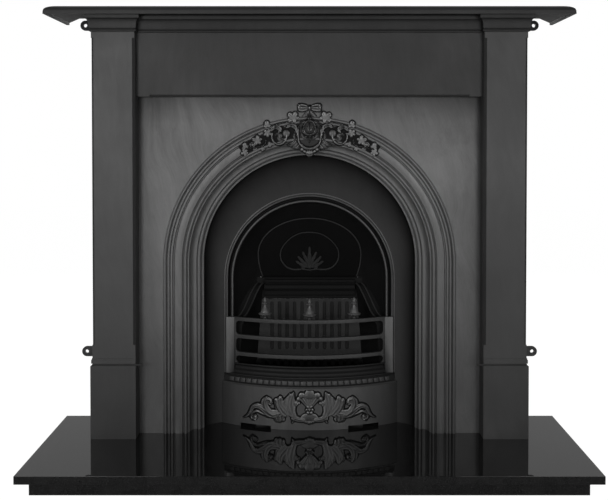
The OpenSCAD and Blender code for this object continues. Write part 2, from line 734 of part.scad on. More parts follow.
module fireback() at_wall() color(DARK_IRON) difference() {
    union() {
        block(-firebox_half, firebox_half, -back_y - back_t, -back_y, 0, back_top);
        block(-60, 60, -back_y, 10 - back_y, grate_foot - 8, grate_foot);
    }
    for (i = [0:flutes - 1]) flute((i - (flutes - 1) / 2) * flute_pitch);
    firebox_bolt_holes();
}

module flute(x) {
    block(x - flute_w / 2, x + flute_w / 2, -back_y - 4, 1 - back_y, flute_foot, flute_top);
    for (z = [flute_foot, flute_top]) bar_y(flute_w / 2, -back_y - 4, 1 - back_y, x, z);
}

module firebox_bolt(z, back, r, start, end) both_sides() bar_y(r, back + start, end, cheek_x(z) + 12, z);

// The blind holes in the cheeks' rear flanges, and the holes through what is bolted there.
module firebox_bolt_holes() {
    for (z = concat(firebox_bolt_heights, [lintel_bolt_z]))
        firebox_bolt(z, -back_y - back_t, bolt_r + bolt_fit, -1, firebox_bolt_end + 0.5);
}

module firebox_bolts() at_wall() color(STEEL) {
    for (z = firebox_bolt_heights) {
        firebox_bolt(z, -back_y - back_t, bolt_r, 0, firebox_bolt_end);
        firebox_bolt(z, -back_y - back_t, shank_head_r, -shank_head_t, -back_y - back_t);
    }
    plate_back = -back_y - lintel_plate_t;
    firebox_bolt(lintel_bolt_z, plate_back, bolt_r, 0, firebox_bolt_end);
    firebox_bolt(lintel_bolt_z, plate_back, shank_head_r, -shank_head_t, plate_back);
}

// Section of the lintel, in depth and height: two fillets and a torus on a flat back plate.
module lintel_section() {
    b = -back_y;
    h = lintel_h;
    foot = back_top + cast_gap - lintel_z;
    polygon([for (p = concat(
        [[b - lintel_plate_t, foot], [b - 4, foot], [b - 4, -6], [b, -6], [b, 0], [b + 8, 0]],
        [[b + 10, h * 0.1], [b + 10, h * 0.22]],
        [[b + 8, h * 0.26]],
        arc(b + 6, h * 0.52, 9, h * 0.22, -80, 80, 8),
        [[b + 8, h * 0.78], [b + 12, h * 0.82], [b + 13, h * 0.92], [b + 11, h], [b, h], [b, h + 4]],
        [[b - lintel_plate_t, h + 4]])) [p[0], p[1] + lintel_z]]);
}

module lintel() at_wall() color(DARK_IRON) difference() {
    union() {
        intersection() {
            from_side(-far, far) lintel_section();
            union() {
                block(-lintel_half, lintel_half, -back_y, far, 0, far);
                block(-lintel_back_half, lintel_back_half, -far, -back_y, 0, far);
            }
        }
        both_sides() {
            block(damper_ear_x, damper_ear_x + 10, -hinge_y, -back_y - lintel_plate_t,
                hinge_z - 8, hinge_z + 8);
            bar_x(barrel_r, damper_ear_x, damper_ear_x + 10, -hinge_y, hinge_z);
        }
    }
    both_sides() bar_x(rod_r + rod_fit, damper_ear_x - 1, damper_ear_x + 11, -hinge_y, hinge_z);
    firebox_bolt_holes();
}

module damper_plate() at_wall() color(DARK_IRON) at_damper() difference() {
    union() {
        intersection() {
            from_front(damper_face - damper_t, damper_face) throat(5);
            block(-far, far, -far, far, damper_foot, far);
        }
        both_sides() {
            block(40, 60, damper_face - damper_t, damper_face, 0, damper_foot + 1);
            bar_x(barrel_r, 40, 60, 0, 0);
        }
    }
    bar_x(rod_r, -61, 61, 0, 0);
}

module damper_rod() at_wall() color(STEEL) at_damper()
    bar_x(rod_r, -damper_ear_x - 9, damper_ear_x + 9, 0, 0);

// An oval bead with a palmette of five leaves, on the front of the damper.
module damper_ornament() at_wall() color(DARK_IRON) at_damper() from_front(damper_face, damper_face + 5) {
    translate([0, 74]) {
        difference() {
            oval(86, 66);
            oval(80, 60);
        }
        for (a = [-64, -32, 0, 32, 64]) translate([0, -34]) rotate([0, 0, 90 + a]) leaf(52 - abs(a) / 4, 16, 1);
        both_sides_2d() translate([24, -38]) scroll(13, 5);
    }
}

// An oval with a flat foot.
module oval(a, b) intersection() {
    polygon(arc(0, 0, a, b, 0, 360, 48));
    translate([-a, -b * 0.6]) square([2 * a, 2 * b]);
}

// ---- grate, bars and ash pit ----

module bottom_grate() at_wall() color(DARK_IRON) translate([0, 0, grate_foot + seat_gap]) intersection() {
    union() {
        for (i = [0:grate_bars - 1]) {
            x = (i - (grate_bars - 1) / 2) * grate_pitch;
            block(x - grate_bar_w / 2, x + grate_bar_w / 2, 1 - back_y, far, 0, grate_t);
        }
        block(-far, far, 1 - back_y, 10 - back_y, 0, grate_t);
        bow_run(grate_r, 190) translate([grate_r - 10, 0]) square([11, grate_t]);
        block(-far, far, 14, 22, 0, grate_t - 4);
    }
    bow_run(grate_r, bow_reach) translate([100, 0]) square([grate_r - 100, grate_t]);
    from_above(-1, grate_t + 1) polygon([
        [-grate_half(-back_y), -back_y], [grate_half(-back_y), -back_y],
        [grate_half(20), 20], [grate_half(20), far], [-grate_half(20), far], [-grate_half(20), 20]]);
}

// Half the grate's width at a depth: it clears the cheeks also when it is lifted.
function grate_half(d) = cheek_x(grate_foot, d) - grate_room;

module front_bars() at_wall() color(IRON) {
    for (z = bar_feet) bow_run(bars_r, bars_half) translate([bars_r - bars_t, z]) square([bars_t, bar_h]);
    bow_run(bars_r, bars_half) translate([bars_r - bars_t, ring_foot + seat_gap])
        square([bars_t, ring_top - ring_foot - seat_gap]);
    bow_run(bars_r, bars_half - 3) translate([bars_r - 1, ring_top - 8]) square([4, 8]);
    both_sides() {
        intersection() {
            bow_run(bars_r, bars_half) translate([bars_r - bars_t + 1, ring_top - 1])
                square([bars_t - 2, bars_top - ring_top - 2]);
            block(bars_half - 9, bars_half, 0, far, 0, far);
        }
        block(bars_half - 1, bars_half + end_plate_w, ring_d + 0.5, ring_d + 7,
            ring_foot + seat_gap, bars_top);
        for (z = hook_heights)
            block(hook_x - hook_w / 2, hook_x + hook_w / 2, ring_back + 1, ring_d + 1,
                z - hook_h / 2, z + hook_h / 2);
    }
}

module finial(x) at_wall() color(IRON)
    translate([x, -(bow_axis + sqrt(pow(bars_r - bars_t / 2, 2) - x * x)), bars_top])
    rotate_extrude() polygon([
        [0, 0], [8, 0], [8, 3], [5.5, 5], [6, 8], [13, 12], [18, 16], [18, 18.5], [14.5, 20], [9, 25],
        [6.5, 31], [5, 39], [4.5, 42], [7.4, 44], [7.4, 47], [4.5, 49], [3.2, 51], [3.6, 53], [0, finial_h]]);

module left_finial() finial(-finial_pitch);
module centre_finial() finial(0);
module right_finial() finial(finial_pitch);

// Keeps what stands in front of the inner ring and inside the splayed reveal, short by a clearance.
module inside_reveal(gap, back) from_above(0, far) polygon([
    [-reveal_r + gap, reveal_d], [-ring_r + gap, ring_d], [-ring_r + gap, back], [ring_r - gap, back],
    [ring_r - gap, ring_d], [reveal_r - gap, reveal_d], [reveal_r - gap, far], [-reveal_r + gap, far]]);

module ledge_section() polygon([
    [bow_r - 34, ledge_foot], [bow_r + 2, ledge_foot], [bow_r + 2, ledge_foot + 3.5], slope_foot,
    slope_top, [bow_r - 6.5, ledge_foot + 20.5], [bow_r - 8, ring_foot], [bow_r - 60, ring_foot],
    [bow_r - 60, ring_foot - 8], [bow_r - 34, ring_foot - 8]]);

module dentil_ledge() at_wall() color(IRON) difference() {
    union() {
        intersection() {
            bow_run(bow_r, bow_reach) ledge_section();
            union() {
                inside_reveal(cast_gap, ring_front);
                between_cheeks();
            }
        }
        for (i = [0:dentils - 1]) dentil((i - (dentils - 1) / 2) * dentil_pitch / bow_r * 180 / PI);
    }
    ring_bolt_holes();
}

// Half the ledge's width at a depth inside the firebox, where it clears the cheeks.
function ledge_half(d) = cheek_x(ring_foot, d) - cast_gap;

// The ledge's room behind the inner ring.
module between_cheeks() from_above(0, far) polygon([
    [-ledge_half(0), 0], [-ledge_half(cheek_front_d), cheek_front_d],
    [-ledge_half(cheek_front_d), cheek_front_d + cast_gap], [1 - mouth_r, cheek_front_d + cast_gap],
    [1 - mouth_r, far], [mouth_r - 1, far], [mouth_r - 1, cheek_front_d + cast_gap],
    [ledge_half(cheek_front_d), cheek_front_d + cast_gap],
    [ledge_half(cheek_front_d), cheek_front_d], [ledge_half(0), 0]]);

module dentil(angle) translate([0, -bow_axis, 0]) rotate([0, 0, angle])
    translate([0, -(slope_foot[0] + slope_top[0]) / 2, (slope_foot[1] + slope_top[1]) / 2])
    rotate([-slope_lean, 0, 0]) cube([dentil_size, 6, dentil_size], center = true);

module ashpit_cover() at_wall() color(IRON) difference() {
    intersection() {
        bow_run(bow_r, bow_reach) translate([bow_r - apron_t, seat_gap]) square([apron_t, apron_h - seat_gap]);
        inside_reveal(2 * cast_gap, ring_front + cast_gap);
    }
    both_sides() block(air_slot_x - air_slot_w / 2, air_slot_x + air_slot_w / 2, 0, far, -1, air_slot_h);
}

// Relief on the apron: everything is drawn flat and cut to the apron's bow.
module cover_ornament() at_wall() color(IRON) intersection() {
    from_front(40, far) translate([0, apron_h / 2]) cover_relief();
    bow_run(bow_r, bow_reach) translate([bow_r, 0]) square([7, apron_h]);
}

module cover_relief() {
    for (a = [-50, -25, 0, 25, 50]) translate([0, -4]) rotate([0, 0, 90 + a]) leaf(50, 17, 1);
    circle(14);
    difference() {
        scroll(40, 9);
        translate([-40, 4]) square([80, 40]);
    }
    both_sides_2d() {
        translate([28, -4]) rotate([0, 0, 58]) leaf(58, 30);
        translate([38, -12]) rotate([0, 0, 12]) leaf(62, 34);
        translate([36, -18]) rotate([0, 0, -24]) leaf(40, 20, 3);
        translate([88, -12]) rotate([0, 0, 40]) leaf(44, 18, 2);
        translate([84, -14]) rotate([0, 0, 4]) leaf(66, 15, 1);
        translate([112, 18]) scroll(11, 6);
        translate([146, -20]) scroll(10, 5);
        translate([140, -8]) rotate([0, 0, -22]) leaf(44, 10, 1);
    }
    translate([0, -44]) rotate([0, 0, 90]) leaf(30, 34, 3);
}

module ash_pan() at_wall() color(DARK_IRON) translate([0, 0, seat_gap]) difference() {
    block(-pan_w / 2, pan_w / 2, pan_front - pan_l, pan_front, 0, pan_h);
    block(pan_t - pan_w / 2, pan_w / 2 - pan_t, pan_front - pan_l + pan_t, pan_front - pan_t, pan_t, pan_h + 1);
}

module pan_handle() at_wall() color(STEEL) {
    for (x = [-30, 30]) bar_y(2.5, pan_front, pan_front + 9, x, pan_h - 14);
    bar_x(2.5, -32.5, 32.5, pan_front + 9, pan_h - 14);
}

hearth_slab();
hearth_bed();
riser_front();
riser_left();
riser_right();
riser_back();
left_leg();
right_leg();
frieze();
shelf();
shelf_bolts();
frieze_bolts();
insert_bolts();
face_plate();
crown_ornament();
reveal();
inner_ring();
ring_bolts();
ledge_bolts();
hood();
damper_plate();
damper_ornament();
damper_rod();
lintel();
left_cheek();
right_cheek();
fireback();
firebox_bolts();
bottom_grate();
front_bars();
left_finial();
centre_finial();
right_finial();
dentil_ledge();
ashpit_cover();
cover_ornament();
ash_pan();
pan_handle();
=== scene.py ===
"""Cast iron fireplace on a boxed granite hearth: castings, ornament, finishes, studio light and camera."""
import json
import math

import bmesh
import bpy
import numpy as np
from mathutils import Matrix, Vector


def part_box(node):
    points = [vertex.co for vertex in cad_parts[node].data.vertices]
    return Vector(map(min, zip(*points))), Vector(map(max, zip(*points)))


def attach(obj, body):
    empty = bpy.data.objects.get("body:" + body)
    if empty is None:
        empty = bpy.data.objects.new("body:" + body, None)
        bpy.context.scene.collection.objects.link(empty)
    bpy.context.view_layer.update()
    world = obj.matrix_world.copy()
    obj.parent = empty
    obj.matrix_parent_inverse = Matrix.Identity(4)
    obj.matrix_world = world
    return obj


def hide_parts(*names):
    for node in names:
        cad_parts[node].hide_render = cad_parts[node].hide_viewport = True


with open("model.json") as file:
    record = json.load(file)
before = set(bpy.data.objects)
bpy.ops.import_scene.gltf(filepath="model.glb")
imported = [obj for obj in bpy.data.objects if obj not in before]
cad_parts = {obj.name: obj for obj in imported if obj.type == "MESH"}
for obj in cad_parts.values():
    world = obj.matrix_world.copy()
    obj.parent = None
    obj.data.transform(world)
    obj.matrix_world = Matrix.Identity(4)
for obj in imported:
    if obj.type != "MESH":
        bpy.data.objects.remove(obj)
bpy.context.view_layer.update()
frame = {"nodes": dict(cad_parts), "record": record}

bpy.ops.object.select_all(action="DESELECT")

MM = 0.001
WALL_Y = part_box("left_leg")[1].y
SLAB_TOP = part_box("hearth_slab")[1].z


def at(across, forward, up):
    """A place in millimetres from the middle, the wall and the slab's top, as a point in metres."""
    return Vector((across * MM, WALL_Y - forward * MM, SLAB_TOP + up * MM))


# ---- finishes

class Signal:
    """An output of a shader node. Python's operators on it add the Math nodes."""

    def __init__(self, finish, socket):
        self.finish = finish
        self.socket = socket

    def maths(self, operation, *terms):
        return self.finish.node("ShaderNodeMath", {"operation": operation}, dict(enumerate(terms)))

    def __add__(self, other):
        return self.maths("ADD", self, other)

    def __sub__(self, other):
        return self.maths("SUBTRACT", self, other)

    def __rsub__(self, other):
        return self.maths("SUBTRACT", other, self)

    def __mul__(self, other):
        return self.maths("MULTIPLY", self, other)

    __radd__ = __add__
    __rmul__ = __mul__

    def within(self, low, high):
        """Stretched so that low becomes 0 and high becomes 1, and held between them."""
        sockets = {"Value": self, "From Min": low, "From Max": high}
        return self.finish.node("ShaderNodeMapRange", {"clamp": True}, sockets)


class Finish:
    """One material. node() adds any node: its settings first, then the values or links of its sockets."""

    def __init__(self, name):
        self.material = bpy.data.materials.new(name)
        self.material.use_nodes = True
        self.tree = self.material.node_tree
        self.shader = self.tree.nodes["Principled BSDF"]
        self.place = self.node("ShaderNodeTexCoord", {}, {}, "Object")

    def plug(self, socket, value):
        if isinstance(value, Signal):
            self.tree.links.new(value.socket, socket)
        else:
            socket.default_value = value

    def node(self, kind, settings, sockets, output=0):
        made = self.tree.nodes.new(kind)
        for name, value in settings.items():
            setattr(made, name, value)
        for name, value in sockets.items():
            self.plug(made.inputs[name], value)
        return Signal(self, made.outputs[output]) if made.outputs else None

    def scaled(self, place, scale):
        """A place with each direction scaled, for a pattern that runs one way."""
        return self.node("ShaderNodeVectorMath", {"operation": "MULTIPLY"}, {0: place, 1: scale})

    def noise(self, scale, detail=3.0, rough=0.5, place=None, output=0):
        sockets = {"Vector": place or self.place, "Scale": scale, "Detail": detail, "Roughness": rough}
        return self.node("ShaderNodeTexNoise", {}, sockets, output)

    def cells(self, scale):
        return self.node("ShaderNodeTexVoronoi", {}, {"Vector": self.place, "Scale": scale}, "Distance")

    def blend(self, factor, first, second):
        """A colour that goes from first to second with factor."""
        return self.node("ShaderNodeMix", {"data_type": "RGBA"}, {0: factor, 6: first, 7: second}, 2)

    def attribute(self, name):
        return self.node("ShaderNodeAttribute", {"attribute_name": name}, {}, "Fac")

    def bump(self, height, distance, strength, below=None):
        sockets = {"Height": height, "Distance": distance, "Strength": strength}
        if below is not None:
            sockets["Normal"] = below
        return self.node("ShaderNodeBump", {}, sockets)

    def set(self, **sockets):
        for name, value in sockets.items():
            self.plug(self.shader.inputs[name.replace("_", " ").title()], value)
        return self


def grey(level):
    return (level, level, level, 1.0)


# Near black: the colour that painted shade goes to.
PAINTED_SHADE_GREY = grey(0.0045)
STREAK_ANGLE, STREAK_WANDER = 0.16, 0.16
STREAK_GRAIN, FINE_GRAIN = (70.0, 70.0, 7.0), (420.0, 420.0, 22.0)


def iron(name, dark, light, rough, streaks=0.0, specular=0.5, pitting=1.0, metal=0.0, shade=None):
    """Blackleaded cast iron: grain of the sand mould, slow unevenness of the polish and rubbed sweeps.
    The attribute raised brightens what a polishing cloth meets. A second attribute is painted shade: it
    darkens the colour to near black in hollows, in recesses and on parts that lie in shade.
    shade adds more painted shade from the height and the distance to the middle, in metres."""
    finish = Finish(name)
    drift = finish.noise(2.2, 3.0, 0.5, output=1)
    cloud = finish.noise(3.4, 4.0, 0.55)
    patch = finish.noise(19.0, 3.0, 0.5)
    grain = finish.noise(900.0, 2.0, 0.6)
    pits = finish.noise(260.0, 2.0, 0.5)
    wander = {0: STREAK_WANDER, 4: finish.place, 5: drift}
    swept = finish.node("ShaderNodeMix", {"data_type": "VECTOR"}, wander, 1)
    turn = {"Vector": swept, "Angle": STREAK_ANGLE}
    turned = finish.node("ShaderNodeVectorRotate", {"rotation_type": "Y_AXIS"}, turn)
    rubbed = finish.noise(1.0, 3.0, 0.6, finish.scaled(turned, STREAK_GRAIN))
    fine = finish.noise(1.0, 2.0, 0.6, finish.scaled(turned, FINE_GRAIN))
    marks = (rubbed * 0.6 + fine * 0.4).within(0.30, 0.70)
    polish = (cloud * 0.75 + patch * 0.15 + marks * streaks + 0.05 - 0.5 * streaks).within(0.25, 0.75)
    worn = finish.attribute("raised")
    painted_shade = finish.attribute("painted_shade")
    if shade:
        height = finish.node("ShaderNodeSeparateXYZ", {}, {0: finish.place}, 2)
        across = finish.node("ShaderNodeSeparateXYZ", {}, {0: finish.place}, 0)
        painted_shade = (painted_shade + shade(height, across)).within(0.0, 1.0)
    bare = finish.blend(polish * 0.8 + worn * 0.7, grey(dark), grey(light))
    finish.set(
        base_color=finish.blend(painted_shade, bare, PAINTED_SHADE_GREY),
        metallic=painted_shade * (0.9 - metal) + metal,
        roughness=rough + 0.06 - polish * 0.12 + (pits - 0.5) * 0.10 - worn * 0.07 + painted_shade * 0.12,
    )
    finish.plug(finish.shader.inputs["Specular IOR Level"], specular)
    casting = finish.bump(grain * 0.6 + pits * 0.4, 0.00025 * pitting, 0.45)
    finish.set(normal=finish.bump(marks, 0.00010, 0.22 * min(1.0, streaks * 3), casting))
    return finish.material


def granite(name, specular):
    """Polished black granite: near black crystals, few grey flecks, a mirror polish that waves a little."""
    finish = Finish(name)
    crystal = finish.cells(420.0)
    fleck = finish.noise(900.0, 2.0, 0.7)
    slow = finish.noise(30.0, 3.0, 0.6)
    bright = (fleck + crystal * 0.25).within(0.68, 0.86)
    body = finish.blend(slow.within(0.35, 0.65), grey(0.003), grey(0.006))
    finish.set(base_color=finish.blend(bright * 0.5, body, grey(0.06)), roughness=0.028 + bright * 0.05)
    finish.plug(finish.shader.inputs["Specular IOR Level"], specular)
    return finish.material


def concrete():
    finish = Finish("hearth_concrete")
    stones = finish.cells(70.0)
    sand = finish.noise(480.0, 4.0, 0.7)
    body = finish.blend(sand, (0.36, 0.35, 0.32, 1), (0.60, 0.58, 0.54, 1))
    finish.set(base_color=finish.blend(stones.within(0.0, 0.35) * 0.4, body, grey(0.42)), roughness=0.9)
    finish.set(normal=finish.bump(sand + stones * 0.4, 0.0012, 0.6))
    return finish.material


def steel(name, dark, light, rough, metal):
    """Rolled steel with fine draw lines and a thin film of oxide."""
    finish = Finish(name)
    drawn = finish.noise(1.0, 2.0, 0.6, finish.scaled(finish.place, (60.0, 900.0, 900.0)))
    film = finish.noise(40.0, 4.0, 0.6)
    finish.set(
        base_color=finish.blend((drawn * 0.5 + film * 0.6).within(0.35, 0.8), grey(dark), grey(light)),
        roughness=rough + (film - 0.5) * 0.2,
        metallic=metal,
        normal=finish.bump(drawn, 0.0001, 0.3),
    )
    return finish.material


PLINTH_FADE, LEG_FADE, CAPITAL_EDGE = (-0.262, -0.240), (0.86, 1.10), (1.112, 1.118)
PLINTH_SHADE, LEG_SHADE, CAPITAL_SHADE = 0.12, 0.10, 0.42
FACE_TOP_FADE, FACE_FOOT_FADE, FACE_SIDE_FADE = (0.88, 0.98), (-0.44, -0.10), (0.0, 0.4)
FACE_TOP_SHADE, FACE_FOOT_SHADE, FACE_SIDE_SHADE = 0.42, 0.30, 0.03


def mantel_shade(height, across):
    """Painted shade: darker towards the shelf, most of all on the capitals, and on the plinths. Heights are
    in metres.
    """
    low = (0.0 - height).within(*PLINTH_FADE) * PLINTH_SHADE
    return height.within(*LEG_FADE) * LEG_SHADE + height.within(*CAPITAL_EDGE) * CAPITAL_SHADE + low


def face_shade(height, across):
    """Painted shade: darker under the frieze, where its shadow falls, and near the hearth, a little more so
    on the right.
    """
    top = height.within(*FACE_TOP_FADE) * FACE_TOP_SHADE
    foot = (0.0 - height).within(*FACE_FOOT_FADE) * FACE_FOOT_SHADE
    return top + foot + across.within(*FACE_SIDE_FADE) * FACE_SIDE_SHADE


FINISHES = {
    "granite": granite("black_granite", 1.0),
    "granite_edge": granite("black_granite_edge", 0.14),
    "concrete": concrete(),
    "mantel_iron": iron("mantel_iron", 0.018, 0.034, 0.50, 0.20, 0.32, shade=mantel_shade),
    "frieze_iron": iron("frieze_iron", 0.015, 0.028, 0.54, 0.20, 0.22),
    "insert_iron": iron("insert_iron", 0.040, 0.085, 0.45, 0.30, 0.5),
    "face_iron": iron("face_iron", 0.040, 0.085, 0.45, 0.30, 0.5, shade=face_shade),
    "bar_iron": iron("bar_iron", 0.018, 0.045, 0.48, 0.20, 0.24),
    # Metallic iron for the ornament: the castings' painted shade makes its hollows near black, and their
    # raised polish brightens its tops.
    "burnished_relief_iron": iron("burnished_relief_iron", 0.030, 0.115, 0.46, 0.0, 0.5, 1.0, 1.0),
    # A darker copy of the iron as painted shade: for the reveal, the fireback, the beads and palmette in the
    # firebox, the quirk beads and the leg chamfers.
    "shade_painted_iron": iron("shade_painted_iron", 0.012, 0.026, 0.58, 0.15, 0.16),
    # Near black: a shaded copy of the iron, painted shade of the firebox cavity.
    "firebox_iron": iron("firebox_iron", 0.0025, 0.0050, 0.66, 0.0, 0.10, 1.6),
    "pan_steel": steel("pan_steel", 0.008, 0.018, 0.6, 0.2),
    "bolt_steel": steel("bolt_steel", 0.035, 0.07, 0.45, 0.6),
}

SLOT_OF = {entry["node"]: entry["material_slot"] for entry in frame["record"]["subparts"]}
BODY_OF = {node: body for body, nodes in frame["record"]["behaviour"]["bodies"].items() for node in nodes}


def paint(obj, slot):
    """Gives a piece one finish all over."""
    obj.data.materials.clear()
    obj.data.materials.append(FINISHES[slot])
    return obj


for name, node in frame["nodes"].items():
    paint(node, SLOT_OF[name])


# ---- modelling by hand

def start(name, where):
    """A new piece with one point, left in edit mode with the point selected."""
    bpy.ops.mesh.primitive_plane_add(size=0.01)
    bpy.context.object.name = name
    bpy.ops.object.mode_set(mode="EDIT")
    bpy.ops.mesh.select_mode(type="VERT")
    bpy.ops.mesh.select_all(action="SELECT")
    bpy.ops.mesh.merge(type="CENTER")
    bpy.ops.transform.translate(value=where)
    return bpy.context.object


def extrude(way):
    """Extrudes what is selected and moves it along."""
    bpy.ops.mesh.extrude_region_move(TRANSFORM_OT_translate={"value": way})


def draw(points):
    """Draws a line from the selected point through the others."""
    for before, after in zip(points, points[1:]):
        extrude(after - before)


def choose(test):
    """Selects the points of the piece in edit mode that pass the test, and what lies between them."""
    bpy.ops.mesh.select_mode(type="VERT")
    bpy.ops.mesh.select_all(action="DESELECT")
    mesh = bmesh.from_edit_mesh(bpy.context.object.data)
    for point in mesh.verts:
        point.select = test(point.co)
    mesh.select_flush_mode()
    bmesh.update_edit_mesh(bpy.context.object.data)


def close_line():
    """Joins the two loose ends of the line that was drawn, and selects everything."""
    mesh = bmesh.from_edit_mesh(bpy.context.object.data)
    bpy.ops.mesh.select_all(action="DESELECT")
    for point in mesh.verts:
        point.select = len(point.link_edges) == 1
    mesh.select_flush_mode()
    bpy.ops.mesh.edge_face_add()
    bpy.ops.mesh.select_all(action="SELECT")


def outline(name, points):
    """A closed line through the points, all selected."""
    obj = start(name, points[0])
    draw(points)
    close_line()
    return obj


def draw_loop(points):
    """Draws one more closed line in the piece that is being worked on."""
    bpy.ops.mesh.select_all(action="DESELECT")
    bpy.ops.mesh.primitive_plane_add(size=0.01)
    bpy.ops.mesh.merge(type="CENTER")
    bpy.ops.transform.translate(value=points[0])
    draw(points)
    close_line()


def mark(obj, title, values):
    """Writes a number on each point of a piece, for its finish to read."""
    layer = obj.data.attributes.new(title, "FLOAT", "POINT")
    layer.data.foreach_set("value", values)


def darken(obj, rule):
    """Marks painted shade on each point, from its distances to the middle, the wall and the slab's top."""
    places = [v.co for v in obj.data.vertices]
    mark(obj, "painted_shade", [rule(p.x / MM, (WALL_Y - p.y) / MM, (p.z - SLAB_TOP) / MM) for p in places])


def weld():
    """Joins the points of the piece in edit mode that lie on one another."""
    bpy.ops.mesh.select_all(action="SELECT")
    bpy.ops.mesh.remove_doubles(threshold=0.00001)


def close_up():
    """Turns the faces outwards and leaves edit mode."""
    bpy.ops.mesh.select_all(action="SELECT")
    bpy.ops.mesh.normals_make_consistent(inside=False)
    bpy.ops.object.mode_set(mode="OBJECT")


def joined(pieces):
    """Joins pieces into the first one."""
    bpy.ops.object.select_all(action="DESELECT")
    for obj in pieces:
        obj.select_set(True)
    bpy.context.view_layer.objects.active = pieces[0]
    bpy.ops.object.join()
    return pieces[0]


def finish_piece(obj, node_or_body, slot, angle=35, replaced=(), finish=None):
    """Leaves edit mode with smooth faces, then paints the piece, with its slot's finish or another, and lets
    it ride."""
    if bpy.context.mode == "EDIT_MESH":
        weld()
        close_up()
    bpy.ops.object.select_all(action="DESELECT")
    obj.select_set(True)
    bpy.context.view_layer.objects.active = obj
    bpy.ops.object.shade_smooth_by_angle(angle=math.radians(angle))
    obj.select_set(False)
    paint(obj, finish or slot)
    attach(obj, node_or_body)
    if replaced:
        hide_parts(*replaced)
    return obj


def beading(name, points, r):
    """A thin round bead along a line."""
    line = bpy.data.curves.new(name, "CURVE")
    line.dimensions = "3D"
    line.bevel_depth = r * MM
    line.bevel_resolution = 3
    line.use_fill_caps = True
    strand = line.splines.new("POLY")
    strand.points.add(len(points) - 1)
    for mark, point in zip(strand.points, points):
        mark.co = (*point, 1.0)
    obj = bpy.data.objects.new(name, line)
    bpy.context.scene.collection.objects.link(obj)
    obj.select_set(True)
    bpy.context.view_layer.objects.active = obj
    bpy.ops.object.convert(target="MESH")
    return bpy.context.object


def modified(obj, name, kind, **settings):
    """Adds a modifier, sets it and applies it."""
    bpy.context.view_layer.objects.active = obj
    modifier = obj.modifiers.new(name, kind)
    for setting, value in settings.items():
        setattr(modifier, setting, value)
    bpy.ops.object.modifier_apply(modifier=modifier.name)


def rounded(obj, width, segments, angle):
    """Breaks the sharp edges of a finished piece, as a casting's are."""
    modified(obj, "broken_edges", "BEVEL", width=width * MM, segments=segments, limit_method="ANGLE",
             angle_limit=math.radians(angle), miter_outer="MITER_ARC", harden_normals=False)


def softened(node, width):
    """A casting copied from the frame, with its edges broken, that is shown in the frame's place."""
    obj = frame["nodes"][node].copy()
    obj.data = obj.data.copy()
    obj.name = node + "_casting"
    for key in list(obj.keys()):
        del obj[key]
    obj.parent = None
    bpy.context.scene.collection.objects.link(obj)
    bpy.context.view_layer.objects.active = obj
    obj.select_set(True)
    bpy.ops.object.mode_set(mode="EDIT")
    bpy.ops.mesh.select_all(action="SELECT")
    bpy.ops.mesh.remove_doubles(threshold=0.00002)
    bpy.ops.mesh.dissolve_limited(angle_limit=math.radians(0.6))
    bpy.ops.object.mode_set(mode="OBJECT")
    if obj.data.has_custom_normals:
        bpy.ops.mesh.customdata_custom_splitnormals_clear()
    obj.select_set(False)
    rounded(obj, width, 2, 32)
    finish_piece(obj, BODY_OF[node], SLOT_OF[node], 35, (node,), FINISH_OF.get(node))
    modified(obj, "flat_faces", "WEIGHTED_NORMAL", keep_sharp=True)
    return obj


# The fireback gets the darker copy of the iron: painted shade of the firebox.
FINISH_OF = {"frieze": "frieze_iron", "shelf": "frieze_iron", "fireback": "shade_painted_iron"}
castings = {}
for node, width in (
    ("hearth_slab", 1.6), ("riser_front", 1.0), ("riser_left", 1.0), ("riser_right", 1.0),
    ("left_leg", 0.9), ("right_leg", 0.9), ("frieze", 0.9), ("shelf", 1.2),
    ("lintel", 1.0), ("fireback", 0.9), ("left_cheek", 1.0), ("right_cheek", 1.0),
    ("damper_plate", 0.8), ("ashpit_cover", 1.0),
):
    castings[node] = softened(node, width)

CAPITAL_UP, CHAMFER_FOOT, CHAMFER_HEAD, FLUTE_FORWARD, APRON_HALF = 1058.0, 230.0, 1048.0, -42.0, 240.0
FACING_OUT, FACING_ASIDE, FACING_UP = 0.3, (0.25, 0.96), 0.7


def refinish(obj, slot, test):
    """Puts a second finish on the faces that pass the test."""
    obj.data.materials.append(FINISHES[slot])
    for face in obj.data.polygons:
        face.material_index = int(test(face))


def on_chamfer(face):
    """Whether a leg's face belongs to its stopped chamfers, which get the darker finish: painted shade on
    faces turned from the front.
    """
    up = (face.center.z - SLAB_TOP) / MM
    slants = -face.normal.y > FACING_OUT and FACING_ASIDE[0] < abs(face.normal.x) < FACING_ASIDE[1]
    return CHAMFER_FOOT < up < CHAMFER_HEAD and slants


for node in ("left_leg", "right_leg"):
    refinish(castings[node], "shade_painted_iron", on_chamfer)
# Painted shade: the frieze under the shelf, the shelf a little all over, the fireback in its flutes, the
# apron's ground most towards its ends, and the whole damper in the firebox.
for node, rule in (
    ("frieze", lambda across, forward, up: 0.35 if up > CAPITAL_UP + 1 else 0.06),
    ("shelf", lambda across, forward, up: 0.10),
    ("fireback", lambda across, forward, up: 0.45 if forward < FLUTE_FORWARD else 0.0),
    ("ashpit_cover", lambda across, forward, up: 0.24 + 0.40 * min(1.0, abs(across) / APRON_HALF) ** 4),
    ("damper_plate", lambda across, forward, up: 0.8),
):
    darken(castings[node], rule)
for node in ("hearth_slab", "riser_front", "riser_left", "riser_right"):
    refinish(castings[node], "granite_edge", lambda face: face.normal.z <= FACING_UP)

# ---- sizes of the castings, in millimetres

